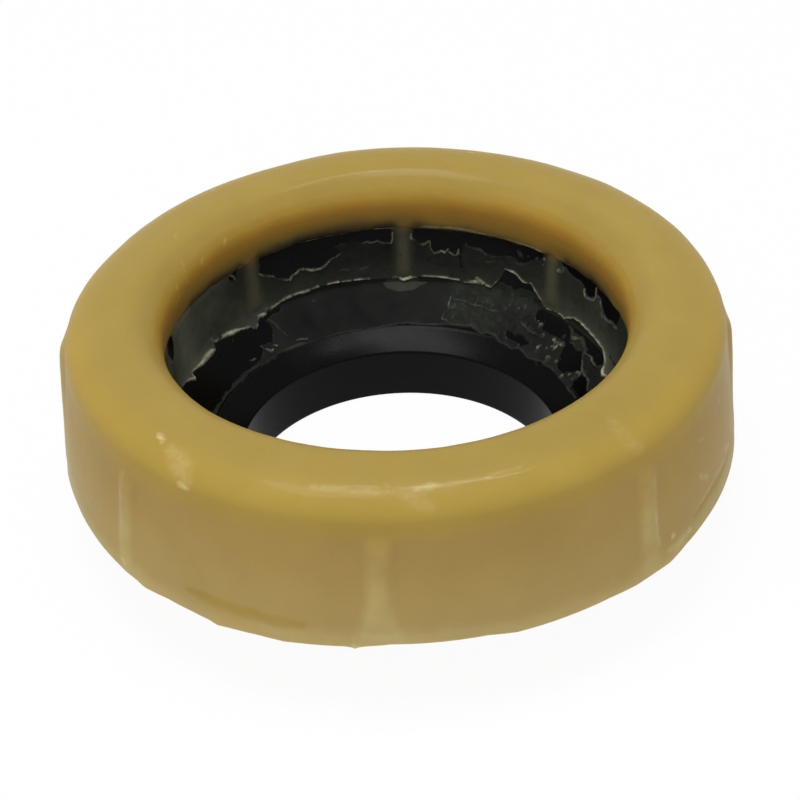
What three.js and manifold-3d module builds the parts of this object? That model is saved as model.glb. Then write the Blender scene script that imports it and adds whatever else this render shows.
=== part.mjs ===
// A toilet pan seal: a thick moulded ring of wax round a black plastic funnel.
// Millimetres, +Z up. The origin is the centre of the funnel sleeve's lower end, on which the seal stands.
// Azimuth is the angle about +Z from +X. The wax ribs lie at multiples of 45 degrees.

import * as THREE from 'three';
import { mergeVertices } from 'three/addons/utils/BufferGeometryUtils.js';
import Module from 'manifold-3d';

const wasm = await Module();
wasm.setup();

// Funnel: radii and widths are of its inner face, from the sleeve's lower end up to the buried rim
const SLEEVE_RADIUS = 33.5;
const SLEEVE_LENGTH = 11.2;
const SLEEVE_DRAFT = 0.5;
const THROAT_BAND_WIDTH = 5.9;
const THROAT_BAND_RISE = 3.3;
const CONE_WIDTH = 7.9;
const CONE_RISE = 7.8;
const COLLAR_FOOT_BEND = 1.8;
const COLLAR_DRAFT = 0.6;
const COLLAR_BARE_HEIGHT = 13.1;
const COLLAR_BURIED_HEIGHT = 5.2;
const RIM_WIDTH = 3;
const RIM_BEND = 1.2;
const FUNNEL_WALL = 1.8;

// Wax ring: its widths add up from the thin skin inside the collar to the foot
const WAX_ABOVE_CONE_FOOT = 1.7;
const WAX_SKIN = 0.9;
const WAX_INNER_WIDTH = 8;
const WAX_OUTER_WIDTH = 11.7;
const WAX_DRAFT = 3;
const WAX_OVER_RIM = 8.7;
const DOME_INNER_RISE = 8.5;
const DOME_OUTER_RISE = 6.5;
const WAX_CLEARANCE = 0.3;

// Ribs on the ring's outer wall
const RIB_COUNT = 8;
const RIB_WIDTH = 4.8;
const RIB_FOOT_WIDTH = 5.6;
const RIB_DEPTH = 1.6;
const RIB_PROUD = 1.4;
const RIB_FOOT_PROUD = 0.6;
const RIB_HEIGHT = 25;

// Strips of wax that run down the collar's inner face, one behind each rib
const STRIP_WIDTH = 4;
const STRIP_PROUD = 1;

// Dents in the ring's outer foot edge: azimuth in degrees, and how far the edge is moved out
const DENT_HEIGHT = 7;
const FOOT_DENTS = [
  [-170, 0],
  [-157, -0.2],
  [-144, -0.2],
  [-134, -0.5],
  [-126, -0.3],
  [-117, 0.8],
  [-105, 0.6],
  [-97, -0.2],
  [-89, -1.6],
  [-77, -1.6],
  [-68, -0.1],
  [-60, -0.5],
  [-46, -0.1],
  [-36, 0.2],
  [-28, -0.2],
  [-10, 0],
];

const RADIAL_SEGMENTS = 72;
const DOME_STEPS = 6;
const BEND_STEPS = 3;
const RIB_SIDES = 10;
const RIB_STEPS = 3;

const WAX_COLOUR = 0xb39a4f;
const PLASTIC_COLOUR = 0x1c1d1c;

// Heights above the sleeve's lower end
const coneFootHeight = SLEEVE_LENGTH + THROAT_BAND_RISE;
const undersideHeight = coneFootHeight + WAX_ABOVE_CONE_FOOT;
const collarFootHeight = coneFootHeight + CONE_RISE;
const waxEdgeHeight = collarFootHeight + COLLAR_BARE_HEIGHT;
const rimHeight = waxEdgeHeight + COLLAR_BURIED_HEIGHT;
const crownHeight = rimHeight + WAX_OVER_RIM;
const innerSpringHeight = crownHeight - DOME_INNER_RISE;
const outerSpringHeight = crownHeight - DOME_OUTER_RISE;

// Radii of the funnel's inner face
const throatRadius = SLEEVE_RADIUS + SLEEVE_DRAFT;
const bandRadius = throatRadius + THROAT_BAND_WIDTH;
const collarFootRadius = bandRadius + CONE_WIDTH;
const collarTopRadius = collarFootRadius + COLLAR_DRAFT;

// Radii of the wax ring
const boreRadius = collarTopRadius - WAX_SKIN;
const crownRadius = boreRadius + WAX_INNER_WIDTH;
const shoulderRadius = crownRadius + WAX_OUTER_WIDTH;
const footRadius = shoulderRadius + WAX_DRAFT;

// A closed three.js geometry as a solid that can be joined and cut
function solidOf(geometry) {
  const bare = geometry.clone();
  bare.deleteAttribute('normal');
  bare.deleteAttribute('uv');
  const merged = mergeVertices(bare);
  const vertProperties = new Float32Array(merged.attributes.position.array);
  const triVerts = new Uint32Array(merged.index.array);
  return new wasm.Manifold(new wasm.Mesh({ numProp: 3, vertProperties, triVerts }));
}

// A solid as a three.js geometry
function geometryOf(solid) {
  const mesh = solid.getMesh();
  const geometry = new THREE.BufferGeometry();
  geometry.setAttribute('position', new THREE.BufferAttribute(new Float32Array(mesh.vertProperties), 3));
  geometry.setIndex(new THREE.BufferAttribute(new Uint32Array(mesh.triVerts), 1));
  geometry.computeVertexNormals();
  return geometry;
}

// A body of revolution about Z. Its section lists radius and height, up the outside and down the inside.
function revolve(section) {
  const geometry = new THREE.LatheGeometry([...section, section[0]], RADIAL_SEGMENTS);
  geometry.rotateX(Math.PI / 2);
  return geometry;
}

// A line of points moved sideways to its right, with mitred corners
function offsetLine(points, distance) {
  return points.map((point, i) => {
    const before = points[i - 1] ?? point;
    const after = points[i + 1] ?? point;
    const leaving = (i < points.length - 1 ? after.clone().sub(point) : point.clone().sub(before)).normalize();
    const arriving = (i > 0 ? point.clone().sub(before) : after.clone().sub(point)).normalize();
    const along = arriving.clone().add(leaving).normalize();
    const right = new THREE.Vector2(along.y, -along.x);
    return point.clone().addScaledVector(right, distance / along.dot(arriving));
  });
}

// The funnel's inner face as a line, up from the sleeve's lower end to the tip of the rim
function funnelInnerLine() {
  const coneLength = Math.hypot(CONE_WIDTH, CONE_RISE);
  const bendWidth = COLLAR_FOOT_BEND * CONE_WIDTH / coneLength;
  const bendRise = COLLAR_FOOT_BEND * CONE_RISE / coneLength;
  const rimBend = RIM_BEND + FUNNEL_WALL + WAX_CLEARANCE;
  const band = new THREE.QuadraticBezierCurve(
    new THREE.Vector2(throatRadius, SLEEVE_LENGTH),
    new THREE.Vector2(throatRadius + THROAT_BAND_WIDTH * 0.4, SLEEVE_LENGTH + THROAT_BAND_RISE * 0.5),
    new THREE.Vector2(bandRadius, coneFootHeight),
  );
  const collarFoot = new THREE.QuadraticBezierCurve(
    new THREE.Vector2(collarFootRadius - bendWidth, collarFootHeight - bendRise),
    new THREE.Vector2(collarFootRadius, collarFootHeight),
    new THREE.Vector2(collarFootRadius, collarFootHeight + COLLAR_FOOT_BEND),
  );
  const rim = new THREE.EllipseCurve(
    collarTopRadius + rimBend, rimHeight - rimBend, rimBend, rimBend, Math.PI, Math.PI / 2, true,
  );
  return [
    new THREE.Vector2(SLEEVE_RADIUS, 0),
    ...band.getPoints(BEND_STEPS),
    ...collarFoot.getPoints(BEND_STEPS),
    ...rim.getPoints(BEND_STEPS),
    new THREE.Vector2(collarTopRadius + rimBend + RIM_WIDTH, rimHeight),
  ];
}

// The section of the funnel's wall, with a level lower end. With a spare all round, it is the space that the
// wax leaves for the funnel.
function funnelSection(spare) {
  const line = funnelInnerLine();
  line[0].y -= spare;
  line[line.length - 1].x += spare;
  const innerFace = offsetLine(line, -spare);
  const outerFace = offsetLine(line, FUNNEL_WALL + spare);
  innerFace[0].y = line[0].y;
  outerFace[0].y = line[0].y;
  return [...outerFace, ...innerFace.reverse()];
}

// A quarter of an ellipse in the wax ring's section, about the crown's radius
function domeQuarter(width, springHeight, rise, startAngle) {
  const quarter = new THREE.EllipseCurve(
    crownRadius, springHeight, width, rise, startAngle, startAngle + Math.PI / 2, false,
  );
  return quarter.getPoints(DOME_STEPS);
}

// The wax ring's section. Inside, it ends in the middle of the funnel's wall, which is cut away later.
function waxSection() {
  const halfWall = FUNNEL_WALL / 2;
  const dentShare = DENT_HEIGHT / (outerSpringHeight - undersideHeight);
  const collarShare = COLLAR_BARE_HEIGHT / (rimHeight - collarFootHeight);
  const coneShare = WAX_ABOVE_CONE_FOOT / CONE_RISE;
  return [
    new THREE.Vector2(bandRadius + CONE_WIDTH * coneShare + halfWall, undersideHeight),
    new THREE.Vector2(footRadius, undersideHeight),
    new THREE.Vector2(footRadius - WAX_DRAFT * dentShare, undersideHeight + DENT_HEIGHT),
    ...domeQuarter(WAX_OUTER_WIDTH, outerSpringHeight, DOME_OUTER_RISE, 0),
    ...domeQuarter(WAX_INNER_WIDTH, innerSpringHeight, DOME_INNER_RISE, Math.PI / 2).slice(1),
    new THREE.Vector2(boreRadius, waxEdgeHeight),
    new THREE.Vector2(collarFootRadius + COLLAR_DRAFT * collarShare + halfWall, waxEdgeHeight),
    new THREE.Vector2(collarFootRadius + halfWall, collarFootHeight),
  ];
}

// How far the dents move the foot edge out at an azimuth in degrees
function dentAt(azimuth) {
  const next = FOOT_DENTS.findIndex(([angle]) => angle > azimuth);
  if (next < 1) {
    return 0;
  }
  const [angleBefore, before] = FOOT_DENTS[next - 1];
  const [angleAfter, after] = FOOT_DENTS[next];
  return THREE.MathUtils.mapLinear(azimuth, angleBefore, angleAfter, before, after);
}

// Moves the outer points of a geometry near the ring's underside, fading out over the dents' height
function dentFoot(geometry) {
  const points = geometry.attributes.position;
  for (let i = 0; i < points.count; i += 1) {
    const x = points.getX(i);
    const y = points.getY(i);
    const radius = Math.hypot(x, y);
    const fade = 1 - (points.getZ(i) - undersideHeight) / DENT_HEIGHT;
    if (radius > crownRadius && fade > 0) {
      const move = dentAt(THREE.MathUtils.radToDeg(Math.atan2(y, x))) * fade / radius;
      points.setXY(i, x * (1 + move), y * (1 + move));
    }
  }
  return geometry;
}

// An upright bar of oval section. Its foot and its top are each given by a width and by their axis's radius.
function waxBar({ footWidth, topWidth, depth, footAxis, topAxis, bottom, top, azimuth }) {
  const height = top - bottom;
  const bar = new THREE.CylinderGeometry(topWidth / 2, footWidth / 2, height, RIB_SIDES, RIB_STEPS);
  bar.rotateX(Math.PI / 2);
  bar.translate(0, 0, height / 2);
  bar.scale(2 * depth / topWidth, 1, 1);
  bar.applyMatrix4(new THREE.Matrix4().makeShear(0, 0, 0, 0, (topAxis - footAxis) / height, 0));
  bar.translate(footAxis, 0, bottom);
  bar.rotateZ(azimuth);
  return bar;
}

function rib(azimuth) {
  return dentFoot(waxBar({
    footWidth: RIB_FOOT_WIDTH,
    topWidth: RIB_WIDTH,
    depth: RIB_DEPTH,
    footAxis: footRadius + RIB_FOOT_PROUD - RIB_DEPTH * RIB_FOOT_WIDTH / RIB_WIDTH,
    topAxis: shoulderRadius + RIB_PROUD - RIB_DEPTH,
    bottom: undersideHeight,
    top: undersideHeight + RIB_HEIGHT,
    azimuth,
  }));
}

function strip(azimuth) {
  return waxBar({
    footWidth: STRIP_WIDTH,
    topWidth: STRIP_WIDTH,
    depth: STRIP_PROUD,
    footAxis: collarFootRadius,
    topAxis: collarTopRadius,
    bottom: collarFootHeight + COLLAR_FOOT_BEND,
    top: rimHeight,
    azimuth,
  });
}

function funnel() {
  const material = new THREE.MeshStandardMaterial({ color: PLASTIC_COLOUR, roughness: 0.35, metalness: 0 });
  const mesh = new THREE.Mesh(revolve(funnelSection(0)), material);
  mesh.name = 'funnel';
  return mesh;
}

function waxRing() {
  let wax = solidOf(dentFoot(revolve(waxSection())));
  for (let i = 0; i < RIB_COUNT; i += 1) {
    const azimuth = i * 2 * Math.PI / RIB_COUNT;
    wax = wax.add(solidOf(rib(azimuth)));
    wax = wax.add(solidOf(strip(azimuth)));
  }
  wax = wax.subtract(solidOf(revolve(funnelSection(WAX_CLEARANCE))));
  const material = new THREE.MeshStandardMaterial({ color: WAX_COLOUR, roughness: 0.45, metalness: 0 });
  const mesh = new THREE.Mesh(geometryOf(wax), material);
  mesh.name = 'wax_ring';
  return mesh;
}

const seal = new THREE.Group();
seal.add(funnel(), waxRing());

export default seal;
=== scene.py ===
"""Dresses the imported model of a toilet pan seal: a thick ring of golden wax round a black plastic funnel.

Sizes are in millimetres until a mesh is made, and angles are in degrees. Azimuth is the angle about +Z
from +X. A place on the funnel's inner face is given by its azimuth and its drop, the distance down the
face from the wax ring's edge. A place on the wax ring is given by its azimuth and its arc, the distance
from the same edge up the skin, over the crown and down the wall to the foot.
"""

import logging
import math
from dataclasses import dataclass
from enum import Enum
from typing import Sequence

import bpy
import numpy as np
from mathutils import Matrix

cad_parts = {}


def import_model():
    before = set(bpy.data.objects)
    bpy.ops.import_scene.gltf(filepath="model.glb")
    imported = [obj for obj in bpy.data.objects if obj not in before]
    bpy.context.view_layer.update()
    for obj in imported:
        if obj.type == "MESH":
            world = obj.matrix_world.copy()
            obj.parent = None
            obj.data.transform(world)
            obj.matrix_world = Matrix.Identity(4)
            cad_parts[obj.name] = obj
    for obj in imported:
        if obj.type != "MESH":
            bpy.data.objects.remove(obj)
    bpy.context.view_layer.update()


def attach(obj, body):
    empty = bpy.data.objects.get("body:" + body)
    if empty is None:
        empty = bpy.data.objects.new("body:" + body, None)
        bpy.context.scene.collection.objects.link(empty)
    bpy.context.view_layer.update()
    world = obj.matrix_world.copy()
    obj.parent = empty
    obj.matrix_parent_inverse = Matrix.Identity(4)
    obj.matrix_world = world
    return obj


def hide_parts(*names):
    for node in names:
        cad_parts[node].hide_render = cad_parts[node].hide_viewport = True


LOG = logging.getLogger("pan_seal")

METRES_PER_MM = 0.001
BODY = "root"

# Radii at which noise on the ring's skin, marks on its wall, the film and the cone's lumps are laid out flat
SKIN_RADIUS = 60.0
WALL_RADIUS = 67.0
FILM_RADIUS = 48.0
CONE_RADIUS = 45.0

# The least square of a side's length that a division uses
LEAST_SQUARE = 1e-9

# Rows of corner values that noise has before it repeats, and the fewest cells it has round the seal
NOISE_ROWS = 128
LEAST_CELLS = 3

# Socket numbers of a Mix node that mixes colours
MIX_SHARE = 0
MIX_FIRST = 6
MIX_SECOND = 7
MIX_COLOUR = 2

Array = np.ndarray
Colour = tuple[float, float, float]
Place = tuple[float, float]
SizedPlace = tuple[float, float, float]
Span = tuple[float, float]
Rows = tuple[float, float, int]

Socket = bpy.types.NodeSocket

WHITE = (1.0, 1.0, 1.0, 1.0)


class Slot(Enum):
    """The record's material slots."""

    WAX = "wax"
    PLASTIC = "black_plastic"


def linear(red: float, green: float, blue: float) -> tuple[float, float, float, float]:
    """Turns a screen colour of 0 to 255 into a scene colour.

    Args:
        red: Screen red.
        green: Screen green.
        blue: Screen blue.

    Returns:
        The colour that renders as the given one under light of level one, with an alpha of one.
    """
    share = np.array([red, green, blue]) / 255.0
    low = share / 12.92
    high = ((share + 0.055) / 1.055) ** 2.4
    return (*np.where(share <= 0.04045, low, high).tolist(), 1.0)


def smooth_step(low: float, high: float, value: Array) -> Array:
    """Rises from 0 at low to 1 at high along the cubic 3t^2 - 2t^3.

    Args:
        low: Where the rise starts.
        high: Where it ends, which may be below low for a fall.
        value: The values to shape.

    Returns:
        The shaped values.
    """
    share = np.clip((value - low) / (high - low), 0.0, 1.0)
    return share * share * (3.0 - 2.0 * share)


def angle_from(azimuth: Array, centre: Array | float) -> Array:
    """The signed angle from a centre, between -180 and 180."""
    return (azimuth - centre + 180.0) % 360.0 - 180.0


def cell_noise(across: Array, along: Array, columns: int, seed: int) -> Array:
    """Smooth noise on unit cells: seeded random corner values, blended by a cubic step each way.

    Args:
        across: Positions in cells, in a direction that repeats after the given number of columns.
        along: Positions in cells in the other direction.
        columns: Number of cells before the noise repeats.
        seed: Seed of the corner values.

    Returns:
        Noise from -1 to 1.
    """
    corners = np.random.default_rng(seed).uniform(-1.0, 1.0, (NOISE_ROWS, columns))
    column = np.floor(across).astype(int)
    row = np.floor(along).astype(int)
    right = smooth_step(0.0, 1.0, across - column)
    up = smooth_step(0.0, 1.0, along - row)
    here, beside = column % columns, (column + 1) % columns
    near, next_row = row % NOISE_ROWS, (row + 1) % NOISE_ROWS
    lower = corners[near, here] * (1 - right) + corners[near, beside] * right
    upper = corners[next_row, here] * (1 - right) + corners[next_row, beside] * right
    return lower * (1 - up) + upper * up


@dataclass(frozen=True)
class Noise:
    """Noise that closes on itself round the seal: octaves of cell noise, each half the size and strength. It
    has the size of its largest cells, the seed of its first octave and the radius where its cells are square.
    """

    cell: float
    seed: int
    octaves: int = 2
    radius: float = SKIN_RADIUS

    def at(self, azimuth: Array, along: Array, seed: int = 0) -> Array:
        """Reads the noise.

        Args:
            azimuth: Angles round the seal.
            along: Distances up or down the surface.
            seed: What is added to the noise's own seed.

        Returns:
            Noise from about -1 to 1.
        """
        total = np.zeros(np.broadcast(azimuth, along).shape)
        for octave in range(self.octaves):
            finer = 2 ** octave
            columns = max(LEAST_CELLS, round(2.0 * math.pi * self.radius / self.cell * finer))
            across = azimuth / 360.0 * columns
            corners = self.seed + seed + octave
            total += cell_noise(across, along / self.cell * finer, columns, corners) * 0.5 ** octave
        return total


def round_seal(side: Span, seen: int, rest: int) -> Array:
    """Spaces azimuths round the seal.

    Args:
        side: Where the side that is seen starts and ends.
        seen: The number of azimuths on it.
        rest: The number of azimuths on the rest of the seal.

    Returns:
        The azimuths, as one row.
    """
    near = np.linspace(*side, seen, endpoint=False)
    far = np.linspace(side[1], side[0] + 360.0, rest, endpoint=False)
    return np.concatenate([near, far])[None, :]


def read_list(azimuth: Array, places: Sequence[Sequence[float]], column: int = 1) -> Array:
    """Reads a list of places round the seal at any azimuth, straight from place to place and closed at 360.

    Args:
        azimuth: Where to read.
        places: Rows that start with their azimuth.
        column: Which value of a row to read.

    Returns:
        The values read.
    """
    rows = sorted(places)
    angles = [row[0] for row in rows]
    values = [row[column] for row in rows]
    return np.interp(azimuth, angles, values, period=360.0)


def beside_side(x: Array, y: Array, start: Array, end: Array
                ) -> tuple[Array, Array]:
    """Finds each point's nearest point on a straight side. Its share of the way is the point's run along the
    side over the side's length, held between 0 and 1.

    Args:
        x: Level positions.
        y: Upright positions.
        start: The side's start.
        end: The side's end.

    Returns:
        The share of the way from start to end, and the distance to there.
    """
    side = end - start
    run = (x - start[0]) * side[0] + (y - start[1]) * side[1]
    share = np.clip(run / max(side @ side, LEAST_SQUARE), 0.0, 1.0)
    return share, np.hypot(x - start[0] - share * side[0], y - start[1] - share * side[1])


def outline_distance(x: Array, y: Array, outline: Array) -> Array:
    """The signed distance to a closed outline: the least distance to its sides, positive inside. A point is
    inside where a level ray from it crosses the sides an odd number of times.

    Args:
        x: Level positions.
        y: Upright positions.
        outline: The corners in order, as rows of two.

    Returns:
        The signed distances.
    """
    least = np.full(x.shape, np.inf)
    inside = np.zeros(x.shape, bool)
    for start, end in zip(outline, np.roll(outline, -1, axis=0)):
        least = np.minimum(least, beside_side(x, y, start, end)[1])
        if start[1] != end[1]:
            crosses = (start[1] > y) != (end[1] > y)
            inside ^= crosses & (x < start[0] + (y - start[1]) * (end[0] - start[0]) / (end[1] - start[1]))
    return np.where(inside, least, -least)


def path_ridge(x: Array, y: Array, path: Array) -> Array:
    """A round-backed ridge along a path, as high as 1 on it: the root of one less the squared distance from
    the path over the squared half width there, and nothing beyond the half width.

    Args:
        x: Level positions.
        y: Upright positions.
        path: Rows of level position, upright position and width.

    Returns:
        The heights, from 0 to 1.
    """
    height = np.zeros(x.shape)
    for start, end in zip(path[:-1], path[1:]):
        share, distance = beside_side(x, y, start[:2], end[:2])
        half = 0.5 * (start[2] + share * (end[2] - start[2]))
        height = np.maximum(height, np.sqrt(np.clip(1.0 - (distance / half) ** 2, 0.0, 1.0)))
    return height


class SectionLine:
    """A line in the seal's section, as radius and height, that is read by the distance along it."""

    LEAST_STEP = 1e-6
    REACH = 0.15

    def __init__(self, points: Array) -> None:
        """Measures the line.

        Args:
            points: The line's points in order, as rows of radius and height.
        """
        steps = np.linalg.norm(np.diff(points, axis=0), axis=1)
        keep = np.concatenate([[True], steps > self.LEAST_STEP])
        self.points = points[keep]
        self.steps = np.linalg.norm(np.diff(self.points, axis=0), axis=1)
        self.distances = np.concatenate([[0.0], np.cumsum(self.steps)])
        self.length = float(self.distances[-1])

    def at(self, distance: Array) -> tuple[Array, Array]:
        """Reads the line. Before its start it runs on straight, and past its end it stays at the end.

        Args:
            distance: Distances from the line's start.

        Returns:
            The radius and the height at each distance.
        """
        inner = np.clip(distance, 0.0, self.length)
        radius = np.interp(inner, self.distances, self.points[:, 0])
        height = np.interp(inner, self.distances, self.points[:, 1])
        first = (self.points[1] - self.points[0]) / self.steps[0]
        before = np.minimum(distance, 0.0)
        return radius + before * first[0], height + before * first[1]

    def right(self, distance: Array) -> tuple[Array, Array]:
        """Finds the unit direction to the right of the line's travel: its run over a short step, turned a
        quarter and scaled to one.

        Args:
            distance: Distances from the line's start.

        Returns:
            The direction's share along the radius and along the height.
        """
        behind = self.at(np.clip(distance - self.REACH, 0.0, self.length - self.REACH))
        ahead = self.at(np.clip(distance + self.REACH, self.REACH, self.length))
        run = (ahead[0] - behind[0], ahead[1] - behind[1])
        size = np.hypot(*run)
        return run[1] / size, -run[0] / size

    def beside(self, distance: Array, out: float) -> Array:
        """Finds points by how far they are to the right of the line, as rows of radius and height."""
        return np.stack(self.at(distance), axis=-1) + out * np.stack(self.right(distance), axis=-1)


def bend(start: Place, corner: Place, end: Place, steps: int = 10) -> Array:
    """A quadratic curve from start to end that a corner pulls: (1-t)^2 start + 2t(1-t) corner + t^2 end."""
    t = np.linspace(0.0, 1.0, steps + 1)[:, None]
    return (1 - t) ** 2 * np.array(start) + 2 * t * (1 - t) * np.array(corner) + t * t * np.array(end)


def oval_arc(centre: Place, width: float, rise: float, first: float, last: float,
             steps: int = 16) -> Array:
    """A stretch of an ellipse in the section: centre + (width cos angle, rise sin angle)."""
    angle = np.radians(np.linspace(first, last, steps + 1))
    return np.stack([centre[0] + width * np.cos(angle), centre[1] + rise * np.sin(angle)], axis=-1)


def turned(azimuth: Array, radius: Array, height: Array) -> Array:
    """Places points round the axis: (radius cos azimuth, radius sin azimuth, height).

    Args:
        azimuth: Angles round the seal.
        radius: Distances from the axis.
        height: Heights.

    Returns:
        The points in millimetres, along a last axis of three.
    """
    angle = np.radians(azimuth)
    level = np.broadcast_to(height, np.broadcast(angle, radius, height).shape)
    return np.stack([radius * np.cos(angle) + 0 * level, radius * np.sin(angle) + 0 * level, level], axis=-1)


def ring_piece(name: str, points: Array, attributes: dict[str, Array]) -> bpy.types.Object:
    """Makes a closed ring from a grid whose rows run round its section and whose columns run round the seal.

    Every four neighbours on the grid are a face. The rows go up the outside of the section and down its
    inside, so that the faces point out.

    Args:
        name: The piece's name.
        points: The grid, as rows by columns by three, in millimetres.
        attributes: Values for the grid's points, by name.

    Returns:
        The piece, in the scene.
    """
    rows, columns = points.shape[:2]
    here = np.arange(rows * columns).reshape(rows, columns)
    beside = np.roll(here, -1, axis=1)
    faces = np.stack([here, beside, np.roll(beside, -1, axis=0), np.roll(here, -1, axis=0)], axis=-1)
    mesh = bpy.data.meshes.new(name)
    mesh.from_pydata((points.reshape(-1, 3) * METRES_PER_MM).tolist(), [], faces.reshape(-1, 4).tolist())
    mesh.shade_smooth()
    for key, values in attributes.items():
        layer = mesh.attributes.new(key, "FLOAT", "POINT")
        layer.data.foreach_set("value", np.ascontiguousarray(values, np.float32).ravel())
    piece = bpy.data.objects.new(name, mesh)
    bpy.context.scene.collection.objects.link(piece)
    return piece


@dataclass(frozen=True)
class SealSizes:
    """The seal's driving sizes. Those of the funnel are of its inner face, from the sleeve up. The throat's
    pull is where the corner that bends the throat's band lies, in shares of the band's width and rise.
    """

    sleeve_radius: float = 33.5
    sleeve_length: float = 11.2
    sleeve_draft: float = 0.5
    throat_band_width: float = 5.9
    throat_band_rise: float = 3.3
    throat_pull: Place = (0.4, 0.5)
    cone_width: float = 7.9
    cone_rise: float = 7.8
    collar_foot_bend: float = 1.8
    collar_draft: float = 0.6
    collar_bare_height: float = 13.1
    collar_buried_height: float = 5.2
    rim_width: float = 3.0
    rim_bend: float = 1.2
    funnel_wall: float = 1.8
    wax_above_cone_foot: float = 1.7
    wax_skin: float = 0.9
    wax_inner_width: float = 8.0
    wax_outer_width: float = 11.7
    wax_draft: float = 3.0
    wax_over_rim: float = 8.7
    dome_inner_rise: float = 8.5
    dome_outer_rise: float = 6.5
    wax_clearance: float = 0.3
    dome_steps: int = 30

    @property
    def cone_foot_height(self) -> float:
        """Height of the cone's foot."""
        return self.sleeve_length + self.throat_band_rise

    @property
    def underside_height(self) -> float:
        """Height of the wax ring's underside."""
        return self.cone_foot_height + self.wax_above_cone_foot

    @property
    def collar_foot_height(self) -> float:
        """Height where the cone meets the collar."""
        return self.cone_foot_height + self.cone_rise

    @property
    def wax_edge_height(self) -> float:
        """Height of the wax ring's edge on the collar."""
        return self.collar_foot_height + self.collar_bare_height

    @property
    def rim_height(self) -> float:
        """Height of the buried rim's inner face."""
        return self.wax_edge_height + self.collar_buried_height

    @property
    def crown_height(self) -> float:
        """Height of the wax ring's crown."""
        return self.rim_height + self.wax_over_rim

    @property
    def throat_radius(self) -> float:
        """Inner radius of the sleeve's upper end."""
        return self.sleeve_radius + self.sleeve_draft

    @property
    def cone_foot_radius(self) -> float:
        """Inner radius of the cone's foot."""
        return self.throat_radius + self.throat_band_width

    @property
    def collar_foot_radius(self) -> float:
        """Inner radius of the collar's foot."""
        return self.cone_foot_radius + self.cone_width

    @property
    def collar_top_radius(self) -> float:
        """Inner radius of the collar at its rim."""
        return self.collar_foot_radius + self.collar_draft

    @property
    def bore_radius(self) -> float:
        """Radius of the wax skin inside the collar."""
        return self.collar_top_radius - self.wax_skin

    @property
    def crown_radius(self) -> float:
        """Radius of the wax ring's crown."""
        return self.bore_radius + self.wax_inner_width

    @property
    def shoulder_radius(self) -> float:
        """Radius at the top of the wax ring's outer wall."""
        return self.crown_radius + self.wax_outer_width

    @property
    def foot_radius(self) -> float:
        """Radius of the wax ring's foot."""
        return self.shoulder_radius + self.wax_draft

    def funnel_line(self) -> SectionLine:
        """Draws the funnel's inner face: a drafted sleeve, a curved band, a cone, a collar that starts with a
        small bend, and a quarter circle on to the buried rim.

        Returns:
            The line, up from the sleeve's lower end to the tip of the rim.
        """
        slope = math.hypot(self.cone_width, self.cone_rise)
        bend_width = self.collar_foot_bend * self.cone_width / slope
        bend_rise = self.collar_foot_bend * self.cone_rise / slope
        rim_bend = self.rim_bend + self.funnel_wall + self.wax_clearance
        throat = (self.throat_radius, self.sleeve_length)
        pull = (
            self.throat_radius + self.throat_band_width * self.throat_pull[0],
            self.sleeve_length + self.throat_band_rise * self.throat_pull[1],
        )
        cone_foot = (self.cone_foot_radius, self.cone_foot_height)
        foot = (self.collar_foot_radius, self.collar_foot_height)
        collar_start = (foot[0], foot[1] + self.collar_foot_bend)
        rim_centre = (self.collar_top_radius + rim_bend, self.rim_height - rim_bend)
        return SectionLine(np.concatenate([
            [[self.sleeve_radius, 0.0]],
            bend(throat, pull, cone_foot),
            bend((foot[0] - bend_width, foot[1] - bend_rise), foot, collar_start),
            oval_arc(rim_centre, rim_bend, rim_bend, 180.0, 90.0),
            [[rim_centre[0] + self.rim_width, self.rim_height]],
        ]))

    def wax_line(self) -> SectionLine:
        """Draws the wax ring's skin, as two quarters of ellipses between two straight walls.

        Returns:
            The line, from the ring's edge on the collar over the crown to the foot.
        """
        inner = (self.crown_radius, self.crown_height - self.dome_inner_rise)
        outer = (self.crown_radius, self.crown_height - self.dome_outer_rise)
        steps = self.dome_steps
        return SectionLine(np.concatenate([
            [[self.bore_radius, self.wax_edge_height]],
            oval_arc(inner, self.wax_inner_width, self.dome_inner_rise, 180.0, 90.0, steps),
            oval_arc(outer, self.wax_outer_width, self.dome_outer_rise, 90.0, 0.0, steps)[1:],
            [[self.foot_radius, self.underside_height]],
        ]))


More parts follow.
